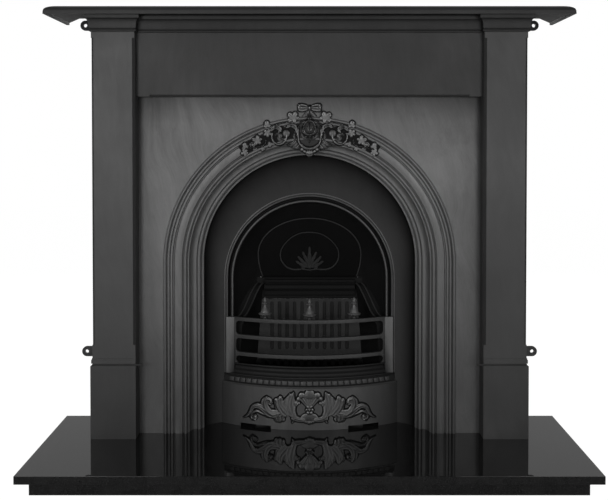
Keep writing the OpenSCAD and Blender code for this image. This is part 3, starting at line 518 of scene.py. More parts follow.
ARCH_UP, ARCH_R, FACE_FORWARD, REVEAL_FORWARD = 453.0, 285.0, 125.0, 81.0
RING_UP, RING_R, RING_FORWARD, MOUTH_R, RING_FOOT = 398.0, 235.0, 47.0, 208.0, 138.0
FACE_HALF, FACE_TOP, FACE_THICK, LIP_OUT, FRIEZE_SHADOW_UP = 451.5, 935.0, 8.0, 102.0, 850.0
BOW_AXIS, BOW_R, BARS_R, BARS_THICK = -417.0, 526.0, 514.0, 10.0
BARS_TOP, BAR_HIGH, RING_TOP, BARS_HALF = 293.0, 9.5, 168.0, 207.0
BAR_FEET = (188.0, 236.0, 283.5)
ARCH_STEPS, LATHE_STEPS = 112, 40


def arc(across, along, half_across, half_along, first, last, steps):
    """Points on part of an ellipse, the angles in degrees."""
    angles = [math.radians(first + (last - first) * i / steps) for i in range(steps + 1)]
    return [(across + half_across * math.cos(a), along + half_along * math.sin(a)) for a in angles]


def arch_run(name, section, up, foot=0.0):
    """Spins a closed section, in radius and forward distance, over an arch and draws it down to its feet."""
    obj = outline(name, [at(r, forward, up) for r, forward in section])
    middle = at(0, 0, up)
    bpy.ops.mesh.spin(steps=ARCH_STEPS, angle=math.pi, center=middle, axis=(0, 1, 0))
    choose(lambda co: co.z < middle.z + 0.01 * MM)
    extrude((0, 0, (foot - up) * MM))
    level = at(0, 0, foot).z
    for side in (-1, 1):
        choose(lambda co: abs(co.z - level) < 0.01 * MM and co.x * side > 0)
        bpy.ops.mesh.edge_face_add()
    return obj


def bow_run(name, section, half, steps):
    """Spins a closed section, in radius and height, along the bow of the basket, from side to side."""
    turn = math.asin(half / max(r for r, up in section))
    points = [at(-r * math.sin(turn), BOW_AXIS + r * math.cos(turn), up) for r, up in section]
    obj = outline(name, points)
    bpy.ops.mesh.edge_face_add()
    bpy.ops.mesh.spin(steps=steps, angle=2 * turn, center=at(0, BOW_AXIS, 0), axis=(0, 0, -1))
    return obj


def lathe(name, profile, axis):
    """Spins a profile, in radius and height, round an upright axis."""
    points = [axis + Vector((r * MM, 0, up * MM)) for r, up in profile]
    obj = start(name, points[0])
    draw(points)
    bpy.ops.mesh.select_all(action="SELECT")
    bpy.ops.mesh.spin(steps=LATHE_STEPS, angle=2 * math.pi, center=axis, axis=(0, 0, 1))
    weld()
    return obj


def pull(old, new):
    """Extrudes the selected points and moves each one from its place in the old line to that in the new."""
    extrude((0, 0, 0))
    mesh = bmesh.from_edit_mesh(bpy.context.object.data)
    key = lambda co: tuple(round(c * 200000) for c in co)
    ends = {key(a): b for a, b in zip(old, new)}
    for point in mesh.verts:
        if point.select:
            point.co = ends[key(point.co)]
    bmesh.update_edit_mesh(bpy.context.object.data)


def lofted(name, lines):
    """A sheet drawn through lines that have the same number of points."""
    obj = start(name, lines[0][0])
    draw(lines[0])
    bpy.ops.mesh.select_all(action="SELECT")
    drawn = [v.co.copy() for v in bmesh.from_edit_mesh(obj.data).verts]
    exact = [min(drawn, key=lambda co: (co - point).length) for point in lines[0]]
    lines = [exact] + lines[1:]
    for old, new in zip(lines, lines[1:]):
        pull(old, new)
    return obj


def thickened(obj, thickness):
    """Gives a sheet its wall, on the side away from its faces."""
    if bpy.context.mode == "EDIT_MESH":
        bpy.ops.object.mode_set(mode="OBJECT")
    modified(obj, "wall", "SOLIDIFY", thickness=thickness * MM, offset=-1.0)


def edit(obj):
    """Goes back into edit mode with everything selected."""
    bpy.context.view_layer.objects.active = obj
    obj.select_set(True)
    bpy.ops.object.mode_set(mode="EDIT")
    bpy.ops.mesh.select_all(action="SELECT")


# ---- face plate with its moulded arch

def moulding():
    """The arch's section, from the reveal's radius and the face: lip, beads, band, cove and bead."""
    return (
        [(LIP_OUT, 0.0), (101.6, 2.8), (100.4, 5.0), (98.4, 6.1), (96.2, 6.0), (94.6, 4.8), (93.6, 2.6)]
        + [(92.8, 0.6)]
        + arc(88.0, 1.2, 4.0, 4.4, 0, 180, 10)
        + [(83.4, 0.4), (82.6, 0.4), (82.2, 3.9), (81.6, 4.3), (78.2, 4.3), (77.6, 3.9), (77.0, 1.2)]
        + [(76.0, -0.6), (74.4, -1.0), (73.0, 0.0), (72.2, 2.0), (71.2, 3.0), (67.0, 3.7), (62.0, 4.0)]
        + [(57.0, 3.7), (53.0, 3.0), (52.2, 2.0), (51.4, -0.8), (50.0, -1.6), (48.8, -1.0)]
        + arc(44.0, 0.0, 4.5, 5.6, 10, 170, 10)
        + [(39.2, -1.6), (38.8, -4.6), (38.2, -5.0), (35.4, -5.0), (34.8, -5.4)]
        + arc(20.6, -7.0, 14.0, 20.0, -4, -88, 12)
        + [(19.8, -27.2), (18.6, -27.2), (18.2, -28.6)]
        + arc(12.2, -30.2, 5.3, 6.3, 5, 175, 12)
        + [(6.2, -32.4), (5.2, -35.0), (3.6, -36.2), (2.7, -36.4)]
        + arc(1.3, -37.4, 1.3, 1.6, 40, 180, 5)
        + [(0.0, REVEAL_FORWARD - FACE_FORWARD), (0.0, -52.0), (26.0, -52.0), (48.0, -9.0), (LIP_OUT, -8.0)]
    )


SECTION = moulding()
arch = arch_run("arch_moulding", [(ARCH_R + r, FACE_FORWARD + out) for r, out in SECTION], ARCH_UP)
finish_piece(arch, "frame", "insert_iron", 24)

rim = ARCH_R + LIP_OUT
plate_line = (
    [(-FACE_HALF, 0), (-FACE_HALF, FACE_TOP), (FACE_HALF, FACE_TOP), (FACE_HALF, 0), (rim, 0)]
    + arc(0, ARCH_UP, rim, rim, 0, 180, ARCH_STEPS)
    + [(-rim, 0)]
)
plate = outline("face_casting", [at(x, FACE_FORWARD, up) for x, up in plate_line])
bpy.ops.mesh.edge_face_add()
extrude((0, FACE_THICK * MM, 0))
close_up()
finish_piece(joined([plate, arch]), "frame", "insert_iron", 24, ("face_plate",), "face_iron")
# Painted shadow of the frieze, growing towards the top of the face.
darken(plate, lambda across, forward, up: 0.55 * min(1.0, max(0.0, (up - FRIEZE_SHADOW_UP) / (FACE_TOP - FRIEZE_SHADOW_UP))))

# ---- reveal between the outer and the inner arch

REVEAL_STEPS, REVEAL_THICK, STRAIGHT_SHARE, HOLLOW_SHARE = 12, 5.0, 0.45, 0.55


def reveal_line(share):
    """A line over the arches, from the outer one at 0 to the inner one at 1, along a shallow hollow."""
    turn = math.radians(90 * share)
    inwards = STRAIGHT_SHARE * share + HOLLOW_SHARE * (1 - math.cos(turn))
    backwards = STRAIGHT_SHARE * share + HOLLOW_SHARE * math.sin(turn)
    radius = ARCH_R + (RING_R - ARCH_R) * inwards
    up = ARCH_UP + (RING_UP - ARCH_UP) * inwards
    forward = REVEAL_FORWARD + (RING_FORWARD - REVEAL_FORWARD) * backwards
    over = [(radius, 0)] + arc(0, up, radius, radius, 0, 180, ARCH_STEPS) + [(-radius, 0)]
    return [at(x, forward, z) for x, z in over]


reveal = lofted("reveal_casting", [reveal_line(i / REVEAL_STEPS) for i in range(REVEAL_STEPS + 1)])
close_up()
sample = reveal.data.polygons[len(reveal.data.polygons) // 2]
if sample.normal.y > 0:
    edit(reveal)
    bpy.ops.mesh.flip_normals()
thickened(reveal, REVEAL_THICK)
# The reveal gets the darker copy of the iron, and on it painted shade, darkest by the outer moulding and
# fading towards the inner ring.
finish_piece(reveal, "frame", "insert_iron", 40, ("reveal",), "shade_painted_iron")
darken(reveal, lambda across, forward, up: 0.9 * (forward - RING_FORWARD) / (REVEAL_FORWARD - RING_FORWARD))

# ---- inner ring with its two beads

ring_section = (
    [(RING_R - 0.4, 32.0), (RING_R - 0.4, 46.2), (232.4, 46.4), (231.6, 44.4), (230.0, 43.4)]
    + arc(227.2, 43.6, 2.7, 4.4, 5, 175, 10)
    + [(224.2, 42.0), (223.4, 36.0), (222.0, 34.2), (217.6, 34.2), (216.4, 36.0), (216.0, 42.4)]
    + arc(212.8, 43.0, 3.1, 3.8, 5, 175, 10)
    + [(209.4, 42.0), (208.6, 41.2), (MOUTH_R, 40.0), (MOUTH_R, 32.0)]
)
ring = arch_run("ring_casting", ring_section, RING_UP, RING_FOOT)
for side in (-1, 1):
    foot = [(MOUTH_R * side, 32), (MOUTH_R * side, 42), (234.6 * side, 42), (234.6 * side, 32)]
    draw_loop([at(x, forward, 0.2) for x, forward in foot])
    choose(lambda co: co.z < at(0, 0, 1).z and co.x * side > 0)
    bpy.ops.mesh.edge_face_add()
    extrude((0, 0, (RING_FOOT - 0.6) * MM))
finish_piece(ring, "frame", "insert_iron", 24, ("inner_ring",))
CHANNEL, QUIRK_FORWARD = (216.2, 224.3), 43.0


def ring_shade(across, forward, up):
    """Painted shade: black in the channel between the two beads and in the quirks beside them, a little
    elsewhere.
    """
    r = math.hypot(across, up - RING_UP) if up > RING_UP else abs(across)
    if CHANNEL[0] < r < CHANNEL[1]:
        return 1.0
    return 0.9 if forward < QUIRK_FORWARD else 0.25


darken(ring, ring_shade)

# ---- front bars, finials

def rounded_hole(half, low, high, r):
    """The line of an opening between two bars, with rounded ends."""
    return (
        arc(half - r, high - r, r, r, 0, 90, 6) + arc(r - half, high - r, r, r, 90, 180, 6)
        + arc(r - half, low + r, r, r, 180, 270, 6) + arc(half - r, low + r, r, r, 270, 360, 6)
    )


openings = zip([RING_TOP] + [foot + BAR_HIGH for foot in BAR_FEET], BAR_FEET)
bars_foot = RING_TOP - 4
BAR_CUTS, CUT_PITCH, HOLE_HALF, HOLE_R = 16, 12.5, 202.0, 9.9
frame_line = [(-BARS_HALF, bars_foot), (-BARS_HALF, BARS_TOP), (BARS_HALF, BARS_TOP), (BARS_HALF, bars_foot)]
bars = outline("front_bars_casting", [at(x, BARS_R + BOW_AXIS, up) for x, up in frame_line])
for low, high in openings:
    hole = rounded_hole(HOLE_HALF, low, high, min(HOLE_R, (high - low) / 2.1))
    draw_loop([at(x, BARS_R + BOW_AXIS, up) for x, up in hole])
weld()
mesh = bmesh.from_edit_mesh(bars.data)
bmesh.ops.triangle_fill(mesh, use_beauty=True, use_dissolve=False, edges=mesh.edges[:], normal=(0, -1, 0))
bmesh.update_edit_mesh(bars.data)
for i in range(-BAR_CUTS, BAR_CUTS + 1):
    bpy.ops.mesh.select_all(action="SELECT")
    bpy.ops.mesh.bisect(plane_co=(i * CUT_PITCH * MM, 0, 0), plane_no=(1, 0, 0), threshold=0.00001)
bpy.ops.mesh.select_all(action="SELECT")
extrude((0, BARS_THICK * MM, 0))
for point in bmesh.from_edit_mesh(bars.data).verts:
    point.co.y += (BARS_R - math.sqrt(BARS_R ** 2 - (point.co.x / MM) ** 2)) * MM
close_up()
rounded(bars, 2.4, 3, 55)
finish_piece(bars, "bars", "insert_iron", 40)

bars_low = RING_FOOT + 0.3
low_ring = bow_run("low_ring", [
    (504.0, bars_low), (516.4, bars_low), (517.8, 139.6), (518.4, 143.5), (517.6, 147.6), (515.6, 150.2),
    (512.8, 152.6), (511.4, 156.0), (511.6, 160.0), (513.4, 161.6), (515.2, 162.8), (515.8, 165.0),
    (515.0, 167.2), (513.2, RING_TOP), (504.0, RING_TOP)], BARS_HALF, 36)
finish_piece(low_ring, "bars", "insert_iron", 30)

END_FORWARD, END_THICK = 47.5, 6.5
end_plates = []
for side in (-1, 1):
    corners = [(206.0, bars_low), (230.0, bars_low), (230.0, BARS_TOP), (206.0, BARS_TOP)]
    end_plate = outline("end_plate", [at(x * side, END_FORWARD, up) for x, up in corners])
    bpy.ops.mesh.edge_face_add()
    extrude((0, -END_THICK * MM, 0))
    close_up()
    rounded(end_plate, 1.8, 3, 50)
    end_plate.select_set(False)
    end_plates.append(end_plate)
finish_piece(joined([bars, low_ring] + end_plates), "bars", "insert_iron", 40, ("front_bars",))


def bars_shade(across, forward, up):
    """Painted shade, most on the low ring, a little on the bars and none on the end plates."""
    if abs(across) > BARS_HALF + 1:
        return 0.0
    return 0.75 if up < RING_TOP + 1 else 0.1


darken(bars, bars_shade)
refinish(bars, "bar_iron", lambda face: abs(face.center.x) <= BARS_HALF * MM)

FINIAL = (
    (0.0, 0.0), (8.4, 0.0), (8.6, 1.6), (7.4, 2.6), (6.0, 3.4), (5.4, 5.0), (5.6, 6.8), (7.4, 9.4),
    (10.6, 11.4), (14.6, 12.6), (17.4, 13.6), (18.0, 14.8), (17.4, 16.0), (14.6, 16.8), (12.4, 17.8),
    (11.6, 19.6), (10.6, 22.6), (8.6, 26.2), (6.4, 29.8), (4.9, 33.2), (3.9, 36.6), (3.5, 39.4),
    (4.4, 40.6), (7.2, 41.4), (8.2, 42.6), (7.6, 44.0), (4.8, 45.0), (3.5, 46.4), (4.4, 48.0),
    (4.9, 49.6), (4.3, 51.4), (3.2, 53.6), (2.0, 57.0), (0.0, 60.0),
)
FINIAL_PITCH, FINIAL_NECK = 121.0, 11.0
for node, across in (("left_finial", -FINIAL_PITCH), ("centre_finial", 0.0), ("right_finial", FINIAL_PITCH)):
    forward = BOW_AXIS + math.sqrt((BARS_R - BARS_THICK / 2) ** 2 - across ** 2)
    finial = lathe(node + "_turned", FINIAL, at(across, forward, BARS_TOP))
    finish_piece(finial, "bars", "insert_iron", 50, (node,))
    # Painted shade on the finial's neck, where it meets the bars.
    darken(finial, lambda across, forward, up: 0.55 if up < BARS_TOP + FINIAL_NECK else 0.0)

# ---- dentil ledge

LEDGE_FOOT, LEDGE_HALF, STEP_HALF, STEP_FOOT = 112.0, 238.0, 165.0, RING_FOOT - 8
LEDGE_BACK_R, LEDGE_STEP_R, RECESS_R = 500.0, 466.0, 521.0
DENTILS, DENTIL_PITCH, DENTIL_R = 27, 17.0, 521.6
DENTIL_WIDE, DENTIL_DEEP, DENTIL_FOOT, DENTIL_TOP = 14.2, 5.4, 118.8, 130.6

ledge = bow_run("dentil_ledge_casting", [
    (LEDGE_BACK_R, RING_FOOT), (LEDGE_BACK_R, LEDGE_FOOT), (527.4, LEDGE_FOOT), (528.0, 112.8),
    (528.0, 114.6), (527.0, 116.2), (525.4, 117.0), (521.4, 117.6), (520.6, 118.4), (518.6, 131.0),
    (519.6, 131.6), (520.8, 132.6), (520.8, 133.8), (519.6, 135.2), (518.2, 136.0), (517.8, RING_FOOT),
], LEDGE_HALF, 56)
finish_piece(ledge, "frame", "insert_iron", 24)
step = bow_run("dentil_ledge_step", [
    (LEDGE_STEP_R, RING_FOOT), (LEDGE_STEP_R, STEP_FOOT), (LEDGE_BACK_R + 1, STEP_FOOT),
    (LEDGE_BACK_R + 1, RING_FOOT)], STEP_HALF, 24)
finish_piece(step, "frame", "insert_iron", 24)

centre = at(0, BOW_AXIS + DENTIL_R, (DENTIL_FOOT + DENTIL_TOP) / 2)
bpy.ops.mesh.primitive_cube_add(size=MM, location=centre)
dentil = bpy.context.object
dentil.name = "dentil"
bpy.ops.object.transform_apply(location=True)
bpy.ops.object.mode_set(mode="EDIT")
bpy.ops.transform.resize(value=(DENTIL_WIDE, DENTIL_DEEP, DENTIL_TOP - DENTIL_FOOT), center_override=centre)
choose(lambda co: co.z > centre.z)
bpy.ops.transform.translate(value=(0, 2.8 * MM, 0))
choose(lambda co: co.y < centre.y)
bpy.ops.transform.resize(value=(0.86, 1, 0.82), center_override=centre)
bpy.ops.object.mode_set(mode="OBJECT")
rounded(dentil, 0.7, 2, 40)
dentil.select_set(False)
blocks = []
for i in range(DENTILS):
    block = dentil.copy()
    block.data = dentil.data.copy()
    bpy.context.scene.collection.objects.link(block)
    turn = (i - (DENTILS - 1) / 2) * DENTIL_PITCH / BOW_R
    spot = at(0, BOW_AXIS, 0)
    for point in block.data.vertices:
        away = spot.y - point.co.y
        x = point.co.x * math.cos(turn) + away * math.sin(turn)
        point.co = (x, spot.y - away * math.cos(turn) + point.co.x * math.sin(turn), point.co.z)
    blocks.append(block)
bpy.data.objects.remove(dentil)
finish_piece(joined([ledge, step] + blocks), "frame", "insert_iron", 30, ("dentil_ledge",), "bar_iron")


def ledge_shade(across, forward, up):
    """Painted shade in the recess behind the dentils, and a little elsewhere."""
    r = math.hypot(across, forward - BOW_AXIS)
    return 0.62 if r < RECESS_R or (r < DENTIL_R and up < DENTIL_FOOT + 0.2) else 0.1


darken(ledge, ledge_shade)

# ---- dark bead in the quirk on top of each plinth: painted shade of the groove

LEG_FRONT, LEG_OUTER, QUIRK_UP, QUIRK_R, QUIRK_SUNK = 166.0, 564.0, 194.0, 3.2, 1.4
for side, leg in ((-1, "left_leg"), (1, "right_leg")):
    inner = min(abs(corner.x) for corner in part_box(leg)) / MM + QUIRK_R
    outer, front = LEG_OUTER - QUIRK_SUNK, LEG_FRONT - QUIRK_SUNK
    turns = [(outer - 1.5, front), (outer - 0.4, front - 0.4), (outer, front - 1.5)]
    places = [(inner, front)] + turns + [(outer, QUIRK_R)]
    quirk = beading("plinth_quirk_shade", [at(side * x, forward, QUIRK_UP) for x, forward in places], QUIRK_R)
    finish_piece(quirk, "frame", "mantel_iron", 40, (), "shade_painted_iron")

# ---- beads on the hood and the cheeks, in the darker copy of the iron: painted shade of the firebox

LEAN = math.radians(8.0)
HINGE_FORWARD, HINGE_UP, PLATE_FORWARD = -60.0, 368.0, 5.0
THROAT_MIDDLE, THROAT_HALF, THROAT_TOP, THROAT_LOW = 85.0, 148.0, 106.0, 165.0
CHEEK_BACK, CHEEK_FRONT, CHEEK_LEAN = 162.5, 208.0, math.radians(4.6)
CHEEK_FORWARD, FIREBACK_FORWARD = 32.0, -40.0
OGEE_FOOT, OGEE_TOP = 288.0, 368.0


def on_throat(degrees, grow):
    """A point round the throat's edge, on the plane in which the damper leans."""
    turn = math.radians(degrees)
    tall = THROAT_TOP if math.sin(turn) > 0 else THROAT_LOW
    across = (THROAT_HALF + grow) * math.cos(turn)
    along = THROAT_MIDDLE + (tall + grow) * math.sin(turn)
    out = PLATE_FORWARD + 2.0
    forward = HINGE_FORWARD + out * math.cos(LEAN) + along * math.sin(LEAN)
    return at(across, forward, HINGE_UP - out * math.sin(LEAN) + along * math.cos(LEAN))


THROAT_R, CHEEK_STEPS = 1.7, 20
throat = beading("throat_bead", [on_throat(angle, -0.6) for angle in range(-24, 205, 4)], THROAT_R)
finish_piece(throat, "frame", "firebox_iron", 40, (), "shade_painted_iron")


def on_cheek(share, out, over):
    """A point along the cheek's curved top, out from its face and over its top."""
    forward = CHEEK_FORWARD + (FIREBACK_FORWARD - CHEEK_FORWARD) * share
    up = OGEE_FOOT + (OGEE_TOP - OGEE_FOOT) * (1 - math.cos(math.pi * share)) / 2
    flare = (CHEEK_FRONT - CHEEK_BACK) * (forward - FIREBACK_FORWARD) / (CHEEK_FORWARD - FIREBACK_FORWARD)
    return CHEEK_BACK - math.tan(CHEEK_LEAN) * up + flare + out, forward, up + over


for side in (-1, 1):
    for title, out, r in (("inner", -1.2, 2.2), ("outer", 15.0, 1.9)):
        places = [on_cheek(0.03 + 0.94 * i / CHEEK_STEPS, out, 0.4) for i in range(CHEEK_STEPS + 1)]
        bead = beading("cheek_%s_bead" % title, [at(side * x, f, up) for x, f, up in places], r)
        finish_piece(bead, "frame", "firebox_iron", 40, (), "shade_painted_iron")

# ---- cast ornament

SEEN_FROM_FORWARD, SEEN_FROM_UP, SEEN_SCALE, SEEN_HORIZON = 2137.0, 778.0, 760.0, 140.0
TENTHS, RELIEF_MIDDLE, PETALS, CURVE_STEPS, SUNK = 10.32, 5.0, 6, 10, 1.0
POLISH_LEVEL, POLISH_DEPTH, CREVICE_SHADE_DEPTH, BLUR = 0.30, 2.6, 1.6, 4


class Relief:
    """Ornament worked on a grid. Shapes are drawn in tenths of the photograph's pixels, across from the
    ornament's middle and down from its top line, and laid on by their height in millimetres."""

    def __init__(self, half, low, high, pitch, top_line, forward):
        across = np.arange(-half, half + pitch / 2, pitch)
        up = np.arange(low, high + pitch / 2, pitch)
        self.across, self.up = np.meshgrid(across, up)
        self.base = forward(self.across, self.up)
        away = SEEN_FROM_FORWARD - self.base - RELIEF_MIDDLE
        self.x = self.across * SEEN_SCALE / away * TENTHS
        self.y = (SEEN_HORIZON + SEEN_SCALE * (SEEN_FROM_UP - self.up) / away - top_line) * TENTHS
        self.tall = np.zeros_like(self.x)
        self.painted_shade = np.zeros_like(self.x)

    def lay(self, *shapes, painted_shade=0.0):
        """Adds shapes and their mirror twins on top of what is there, with the painted shade given for them.
        """
        for shape in shapes:
            height = np.maximum(shape(self.x, self.y), shape(-self.x, self.y))
            higher = height > self.tall
            self.tall = np.where(higher, height, self.tall)
            self.painted_shade = np.where(higher, painted_shade, self.painted_shade)

    def bed(self, reach, height, painted_shade):
        """Leaves a thin ring of painted shadow on the ground all round the ornament."""
        near = self.tall > 0
        for _ in range(reach):
            wide = np.pad(near, 1)
            near = wide[:-2, 1:-1] | wide[2:, 1:-1] | wide[1:-1, :-2] | wide[1:-1, 2:] | near
            ring = near & (self.tall <= 0)
            self.tall = np.where(ring, height, self.tall)
            self.painted_shade = np.where(ring, painted_shade, self.painted_shade)
            painted_shade = painted_shade * 0.8

    def cut(self, shape):
        """Takes away what lies under a shape and its twin."""
        gone = (shape(self.x, self.y) > 0) | (shape(-self.x, self.y) > 0)
        self.tall = np.where(gone, 0.0, self.tall)


def curve_through(points):
    """A smooth line through the points."""
    p = np.array([points[0]] + list(points) + [points[-1]], float)
    t = np.linspace(0, 1, CURVE_STEPS, endpoint=False)[:, None]
    parts = []
    for a, b, c, d in zip(p, p[1:], p[2:], p[3:]):
        bend, twist = 2 * a - 5 * b + 4 * c - d, 3 * b - a - 3 * c + d
        parts.append(0.5 * (2 * b + (c - a) * t + bend * t ** 2 + twist * t ** 3))
    return np.vstack(parts + [p[-1:]])


def leaf(points, widths, tall, ribs=0, edge=0.5, depth=0.22, notches=0):
    """A leaf, stem or scroll along a line: half widths along it, ribs across it and notches in its edges."""
    line = curve_through(points)
    share = np.linspace(0, 1, len(line))
    half = np.interp(share, np.linspace(0, 1, len(widths)), widths)
    if notches:
        half = half * (1 - 0.28 * np.cos(np.pi * notches * share) ** 6)
    way = np.gradient(line, axis=0)
    way /= np.maximum(np.linalg.norm(way, axis=1)[:, None], 1e-6)

    def shape(x, y):
        reach = half.max()
        low, high = line.min(0) - reach, line.max(0) + reach
        inside = (x > low[0]) & (x < high[0]) & (y > low[1]) & (y < high[1])
        height = np.zeros_like(x)
        if not inside.any():
            return height
        dx = x[inside][:, None] - line[None, :, 0]
        dy = y[inside][:, None] - line[None, :, 1]
        off = (dx * dx + dy * dy) / half[None, :] ** 2
        nearest = off.argmin(1)
        rows = np.arange(len(nearest))
        t = np.sqrt(off[rows, nearest])
        side = np.sign(dx[rows, nearest] * way[nearest, 1] - dy[rows, nearest] * way[nearest, 0])
        crown = edge + (1 - edge) * np.sqrt(np.clip(1 - t ** 2, 0, 1))
        grooves = depth * (0.5 - 0.5 * np.cos(np.pi * (ribs + 1) * t * side)) if ribs else 0.0
        grooves = grooves * np.clip(half[nearest] / (0.6 * half.max()), 0, 1)
        height[inside] = np.where(t < 1, tall * (crown - grooves), 0.0)
        return height
    return shape


def frond(points, widths, tall, ribs=1, depth=0.12):
    """A full leaf with shallow grooves."""
    return leaf(points, widths, tall, ribs, 0.62, depth)


def boss(x0, y0, r, tall, flat=0.35, squash=1.0):
    """A round or oval swelling."""
    def shape(x, y):
        t = ((x - x0) / r) ** 2 + ((y - y0) / (r * squash)) ** 2
        return np.where(t < 1, tall * (flat + (1 - flat) * np.sqrt(np.clip(1 - t, 0, 1))), 0.0)
    return shape


def curl(x0, y0, r, tall, spin=1, turns=1.6):
    """The rolled end of a scroll: a spiral groove round a button."""
    def shape(x, y):
        out = np.hypot(x - x0, y - y0) / r
        turn = np.arctan2(y - y0, (x - x0) * spin) / (2 * np.pi)
        wave = np.cos(2 * np.pi * (out * turns - turn))
        groove = 0.16 * (1 - wave) * np.clip(out * 2.2, 0, 1)
        top = 0.72 + 0.28 * np.sqrt(np.clip(1 - out ** 2, 0, 1)) - groove
        return np.where(out < 1, tall * top, 0.0)
    return shape


def rosette(x0, y0, r, tall):
    """A small flower with a button in its middle."""
    def shape(x, y):
        out = np.hypot(x - x0, y - y0) / r
        turn = np.arctan2(y - y0, x - x0)
        rim = 0.84 + 0.16 * np.abs(np.cos(turn * PETALS / 2))
        petal = 0.62 + 0.22 * np.abs(np.cos(turn * PETALS / 2)) - 0.35 * np.exp(-((out - 0.42) / 0.09) ** 2)
        button = np.where(out < 0.36, 1.0 - 0.5 * (out / 0.36) ** 2, 0.0)
        return np.where(out < rim, tall * np.maximum(petal, button), 0.0)
    return shape


def vine_leaf(x0, y0, r, tall, turn, lobes=5):
    """A lobed leaf with a vein in each lobe. turn is the way that it points, in degrees, 90 being up."""
    def shape(x, y):
        out = np.hypot(x - x0, y - y0) / r
        way = np.arctan2(-(y - y0), x - x0) - math.radians(turn)
        lobe = np.abs(np.cos(way * lobes / 2))
        rim = (0.70 + 0.30 * lobe ** 1.2) * (0.86 + 0.14 * np.cos(way))
        t = out / rim
        swell = 0.52 + 0.30 * np.sqrt(np.clip(1 - t ** 2, 0, 1)) + 0.16 * lobe * np.clip(t, 0, 1)
        vein = 0.12 * np.exp(-(np.sin(way * lobes / 2) / 0.22) ** 2) * np.clip(out * 3, 0, 1)
        return np.where(t < 1, tall * (swell - vein), 0.0)
    return shape


def cast(name, relief, node, body, slot, back, finish):
    """Turns the worked grid into a solid casting: the front is moved out, the rest cut away and a skirt
    drawn back."""
    rows, columns = relief.tall.shape
    bpy.ops.mesh.primitive_grid_add(x_subdivisions=columns - 1, y_subdivisions=rows - 1, size=1.0)
    obj = bpy.context.object
    obj.name = name
    padded = np.pad(relief.tall, 1, mode="edge")
    around = (padded[:-2, 1:-1] + padded[2:, 1:-1] + padded[1:-1, :-2] + padded[1:-1, 2:]) / 4
    eased = 0.6 * relief.tall + 0.4 * np.where(around > 0, around, relief.tall)
    tall = np.where(relief.tall > 0, eased, 0.0)
    places = np.stack([
        relief.across * MM,
        WALL_Y - (relief.base + tall) * MM,
        SLAB_TOP + relief.up * MM], axis=-1).reshape(-1, 3)
    obj.data.vertices.foreach_set("co", places.astype(np.float32).ravel())
    padded = np.pad(relief.tall, BLUR, mode="edge")
    steps = range(0, 2 * BLUR + 1, 2)
    blurred = sum(padded[i:i + rows, j:j + columns] for i in steps for j in steps) / len(steps) ** 2
    # raised is the polish on what stands above its surroundings; the second value is painted shade in the
    # crevices, where the surface lies below its surroundings.
    raised = np.clip(POLISH_LEVEL + (relief.tall - blurred) / POLISH_DEPTH, 0, 1) * (1 - relief.painted_shade)
    painted_shade = np.maximum(relief.painted_shade, np.clip((blurred - relief.tall) / CREVICE_SHADE_DEPTH - 0.05, 0, 0.95))
    for title, values in (("raised", raised), ("painted_shade", painted_shade), ("back", back(relief.across, relief.up))):
        mark(obj, title, values.astype(np.float32).ravel())
    kept = (relief.tall > 0.05).ravel()
    bpy.ops.object.mode_set(mode="EDIT")
    bpy.ops.mesh.select_mode(type="VERT")
    mesh = bmesh.from_edit_mesh(obj.data)
    for point, stays in zip(mesh.verts, kept):
        point.select = not stays
    mesh.select_flush_mode()
    bpy.ops.mesh.delete(type="VERT")
    mesh = bmesh.from_edit_mesh(obj.data)
    for _ in range(3):
        loose = [v for v in mesh.verts if len(v.link_faces) < 1]
        bmesh.ops.delete(mesh, geom=loose, context="VERTS")
    bpy.ops.mesh.select_all(action="DESELECT")
    rim_edges = [e for e in mesh.edges if len(e.link_faces) == 1]
    rim_points = list({v for e in rim_edges for v in e.verts})
    for _ in range(2):
        middles = {}
        for v in rim_points:
            beside = [e.other_vert(v).co for e in v.link_edges if len(e.link_faces) == 1]
            middles[v] = sum(beside, Vector()) / len(beside)
        for v, middle in middles.items():
            v.co.x, v.co.z = (v.co.x + middle.x) / 2, (v.co.z + middle.z) / 2
    made = bmesh.ops.extrude_edge_only(mesh, edges=rim_edges)
    layer = mesh.verts.layers.float["back"]
    for item in made["geom"]:
        if isinstance(item, bmesh.types.BMVert):
            item.co.y = WALL_Y - item[layer] * MM
    bmesh.update_edit_mesh(obj.data)
    close_up()
    if sum(f.normal.y for f in obj.data.polygons) > 0:
        edit(obj)
        bpy.ops.mesh.flip_normals()
        bpy.ops.object.mode_set(mode="OBJECT")
    return finish_piece(obj, body, slot, 60, (node,), finish)


# ---- acanthus on the ashpit cover

def on_apron(across, up):
    return BOW_AXIS + np.sqrt(BOW_R ** 2 - across ** 2)


